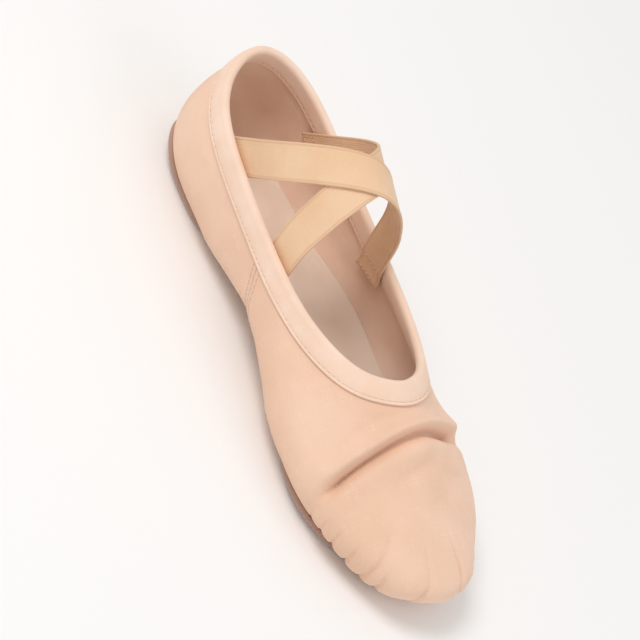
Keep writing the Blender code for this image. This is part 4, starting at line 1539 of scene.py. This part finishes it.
def box_lines(hand, layer):
    """The stitched box that holds each end of an elastic, seen from inside the collar."""
    lines = []
    for end, inward in ((REAR_END, 1.0), (FRONT_END, -1.0)):
        for (a, b), (c, d) in zip(BOX_CORNERS[:-1], BOX_CORNERS[1:]):
            near, far = [], []
            for share in np.linspace(0.0, 1.0, 14):
                step = end + inward * (a + (c - a) * share) / STRAP_SLANT
                width = b + (d - b) * share
                near.append(strap_point(hand, layer, step, width, MIDDLE_HOLLOW))
                far.append(strap_point(hand, layer, step, width, STRAP))
            lines.append((np.array(near), unit(np.array(near) - np.array(far))))
    return lines


sew("strap", "elastic", box_lines(*UNDER_LAYER) + box_lines(*OVER_LAYER), THREAD, CLOTH_HOLE_SHADE,
    pitch=0.0021, length=0.0016, radius=0.00019, mark=0.00020)

# %% [markdown]
# ## Light, floor and camera
#
# The photo has soft, even light and a white ground. A large key lamp stands on the heel's
# side, so that the roll behind the crease is bright and the crease beneath it dark, and a
# larger, weaker fill lamp stands before the toe. A pale sky and a pale floor do the rest.
# The camera looks from the same side and height relative to the slipper as in the photo,
# from far away with a long lens, and it is rolled so that the toe points down in the
# picture as it does there.

# %% The floor and the lamps
# The stitches of the soles stand a little below the suede, and the floor just below them
FLOOR = -0.0002
FLOOR_HALF = 8.0
LAMP_AIM = Vector((0.0, -0.01, 0.03))


def make_floor():
    data = bpy.data.meshes.new("floor")
    corners = [(x * FLOOR_HALF, y * FLOOR_HALF, FLOOR) for x, y in ((-1, -1), (1, -1), (1, 1), (-1, 1))]
    data.from_pydata(corners, [], [(0, 1, 2, 3)])
    constants = {"Base Color": (0.93, 0.925, 0.92, 1.0), "Roughness": 0.8}
    data.materials.append(Finish("pale floor", constants).material)
    floor = placed("floor", data)


def add_lamp(name, place, size, power, colour):
    lamp = bpy.data.lights.new(name, "AREA")
    lamp.shape = "SQUARE"
    lamp.size = size
    lamp.energy = power
    lamp.color = colour
    thing = placed(name, lamp)
    thing.location = place
    thing.rotation_euler = (LAMP_AIM - Vector(place)).to_track_quat("-Z", "Y").to_euler()


make_floor()
add_lamp("key lamp", (-0.60, 0.45, 1.25), 0.6, 8.2, (1.0, 0.985, 0.965))
add_lamp("fill lamp", (0.20, -1.10, 0.80), 0.9, 2.6, (0.97, 0.98, 1.0))
world = bpy.data.worlds.new("studio")
bpy.context.scene.world = world
world.use_nodes = True
sky = world.node_tree.nodes["Background"]
sky.inputs["Color"].default_value = (1.0, 0.99, 0.98, 1.0)
sky.inputs["Strength"].default_value = 0.65
bpy.context.scene.view_settings.view_transform = "Standard"
print("lamps:", [thing.name for thing in bpy.context.scene.objects if thing.type == "LIGHT"])

# %% The camera
AZIMUTH = math.radians(-59.0)
ELEVATION = math.radians(41.0)
TOE_IN_PICTURE = math.radians(-65.5)
LENS = 200.0
SENSOR = 36.0
FILL = 0.86


def outline_points():
    """Enough points of the slipper to frame it by: some rows of the canvas, and the top strap."""
    places = np.linspace(0.0, ROUND, 80)
    rows = [cloth(places, way) for way in (1.0, 1.6, 2.0, 2.5, 3.0)]
    top = [strap_point(1, STRAP, step, 0.0, STRAP) for step in np.linspace(-0.04, 0.04, 9)]
    return np.concatenate((*rows, np.array(top)))


def make_camera():
    level = math.cos(ELEVATION)
    away = np.array((math.sin(AZIMUTH) * level, -math.cos(AZIMUTH) * level, math.sin(ELEVATION)))
    right = unit(np.cross((0.0, 0.0, 1.0), away))
    up = np.cross(away, right)
    toe = np.array((0.0, -1.0, 0.0))
    roll = math.atan2(toe @ up, toe @ right) - TOE_IN_PICTURE
    sin, cos = math.sin(roll), math.cos(roll)
    right, up = cos * right + sin * up, cos * up - sin * right
    points = outline_points()
    low = np.array((min(points @ right), min(points @ up)))
    high = np.array((max(points @ right), max(points @ up)))
    across, upward = (low + high) / 2
    centre = across * right + upward * up + (points.mean(axis=0) @ away) * away
    distance = max(high - low) / FILL * LENS / SENSOR
    data = bpy.data.cameras.new("camera")
    data.lens = LENS
    data.sensor_width = SENSOR
    camera = placed("camera", data)
    matrix = np.eye(4)
    matrix[:3] = np.stack((right, up, away, centre + distance * away), axis=1)
    camera.matrix_world = Matrix(matrix.tolist())
    bpy.context.scene.camera = camera
    print(f"the camera stands {distance:.2f} m away")


make_camera()

# %% [markdown]
# ## Closing
#
# The dressed slipper has to be as big as the solids.
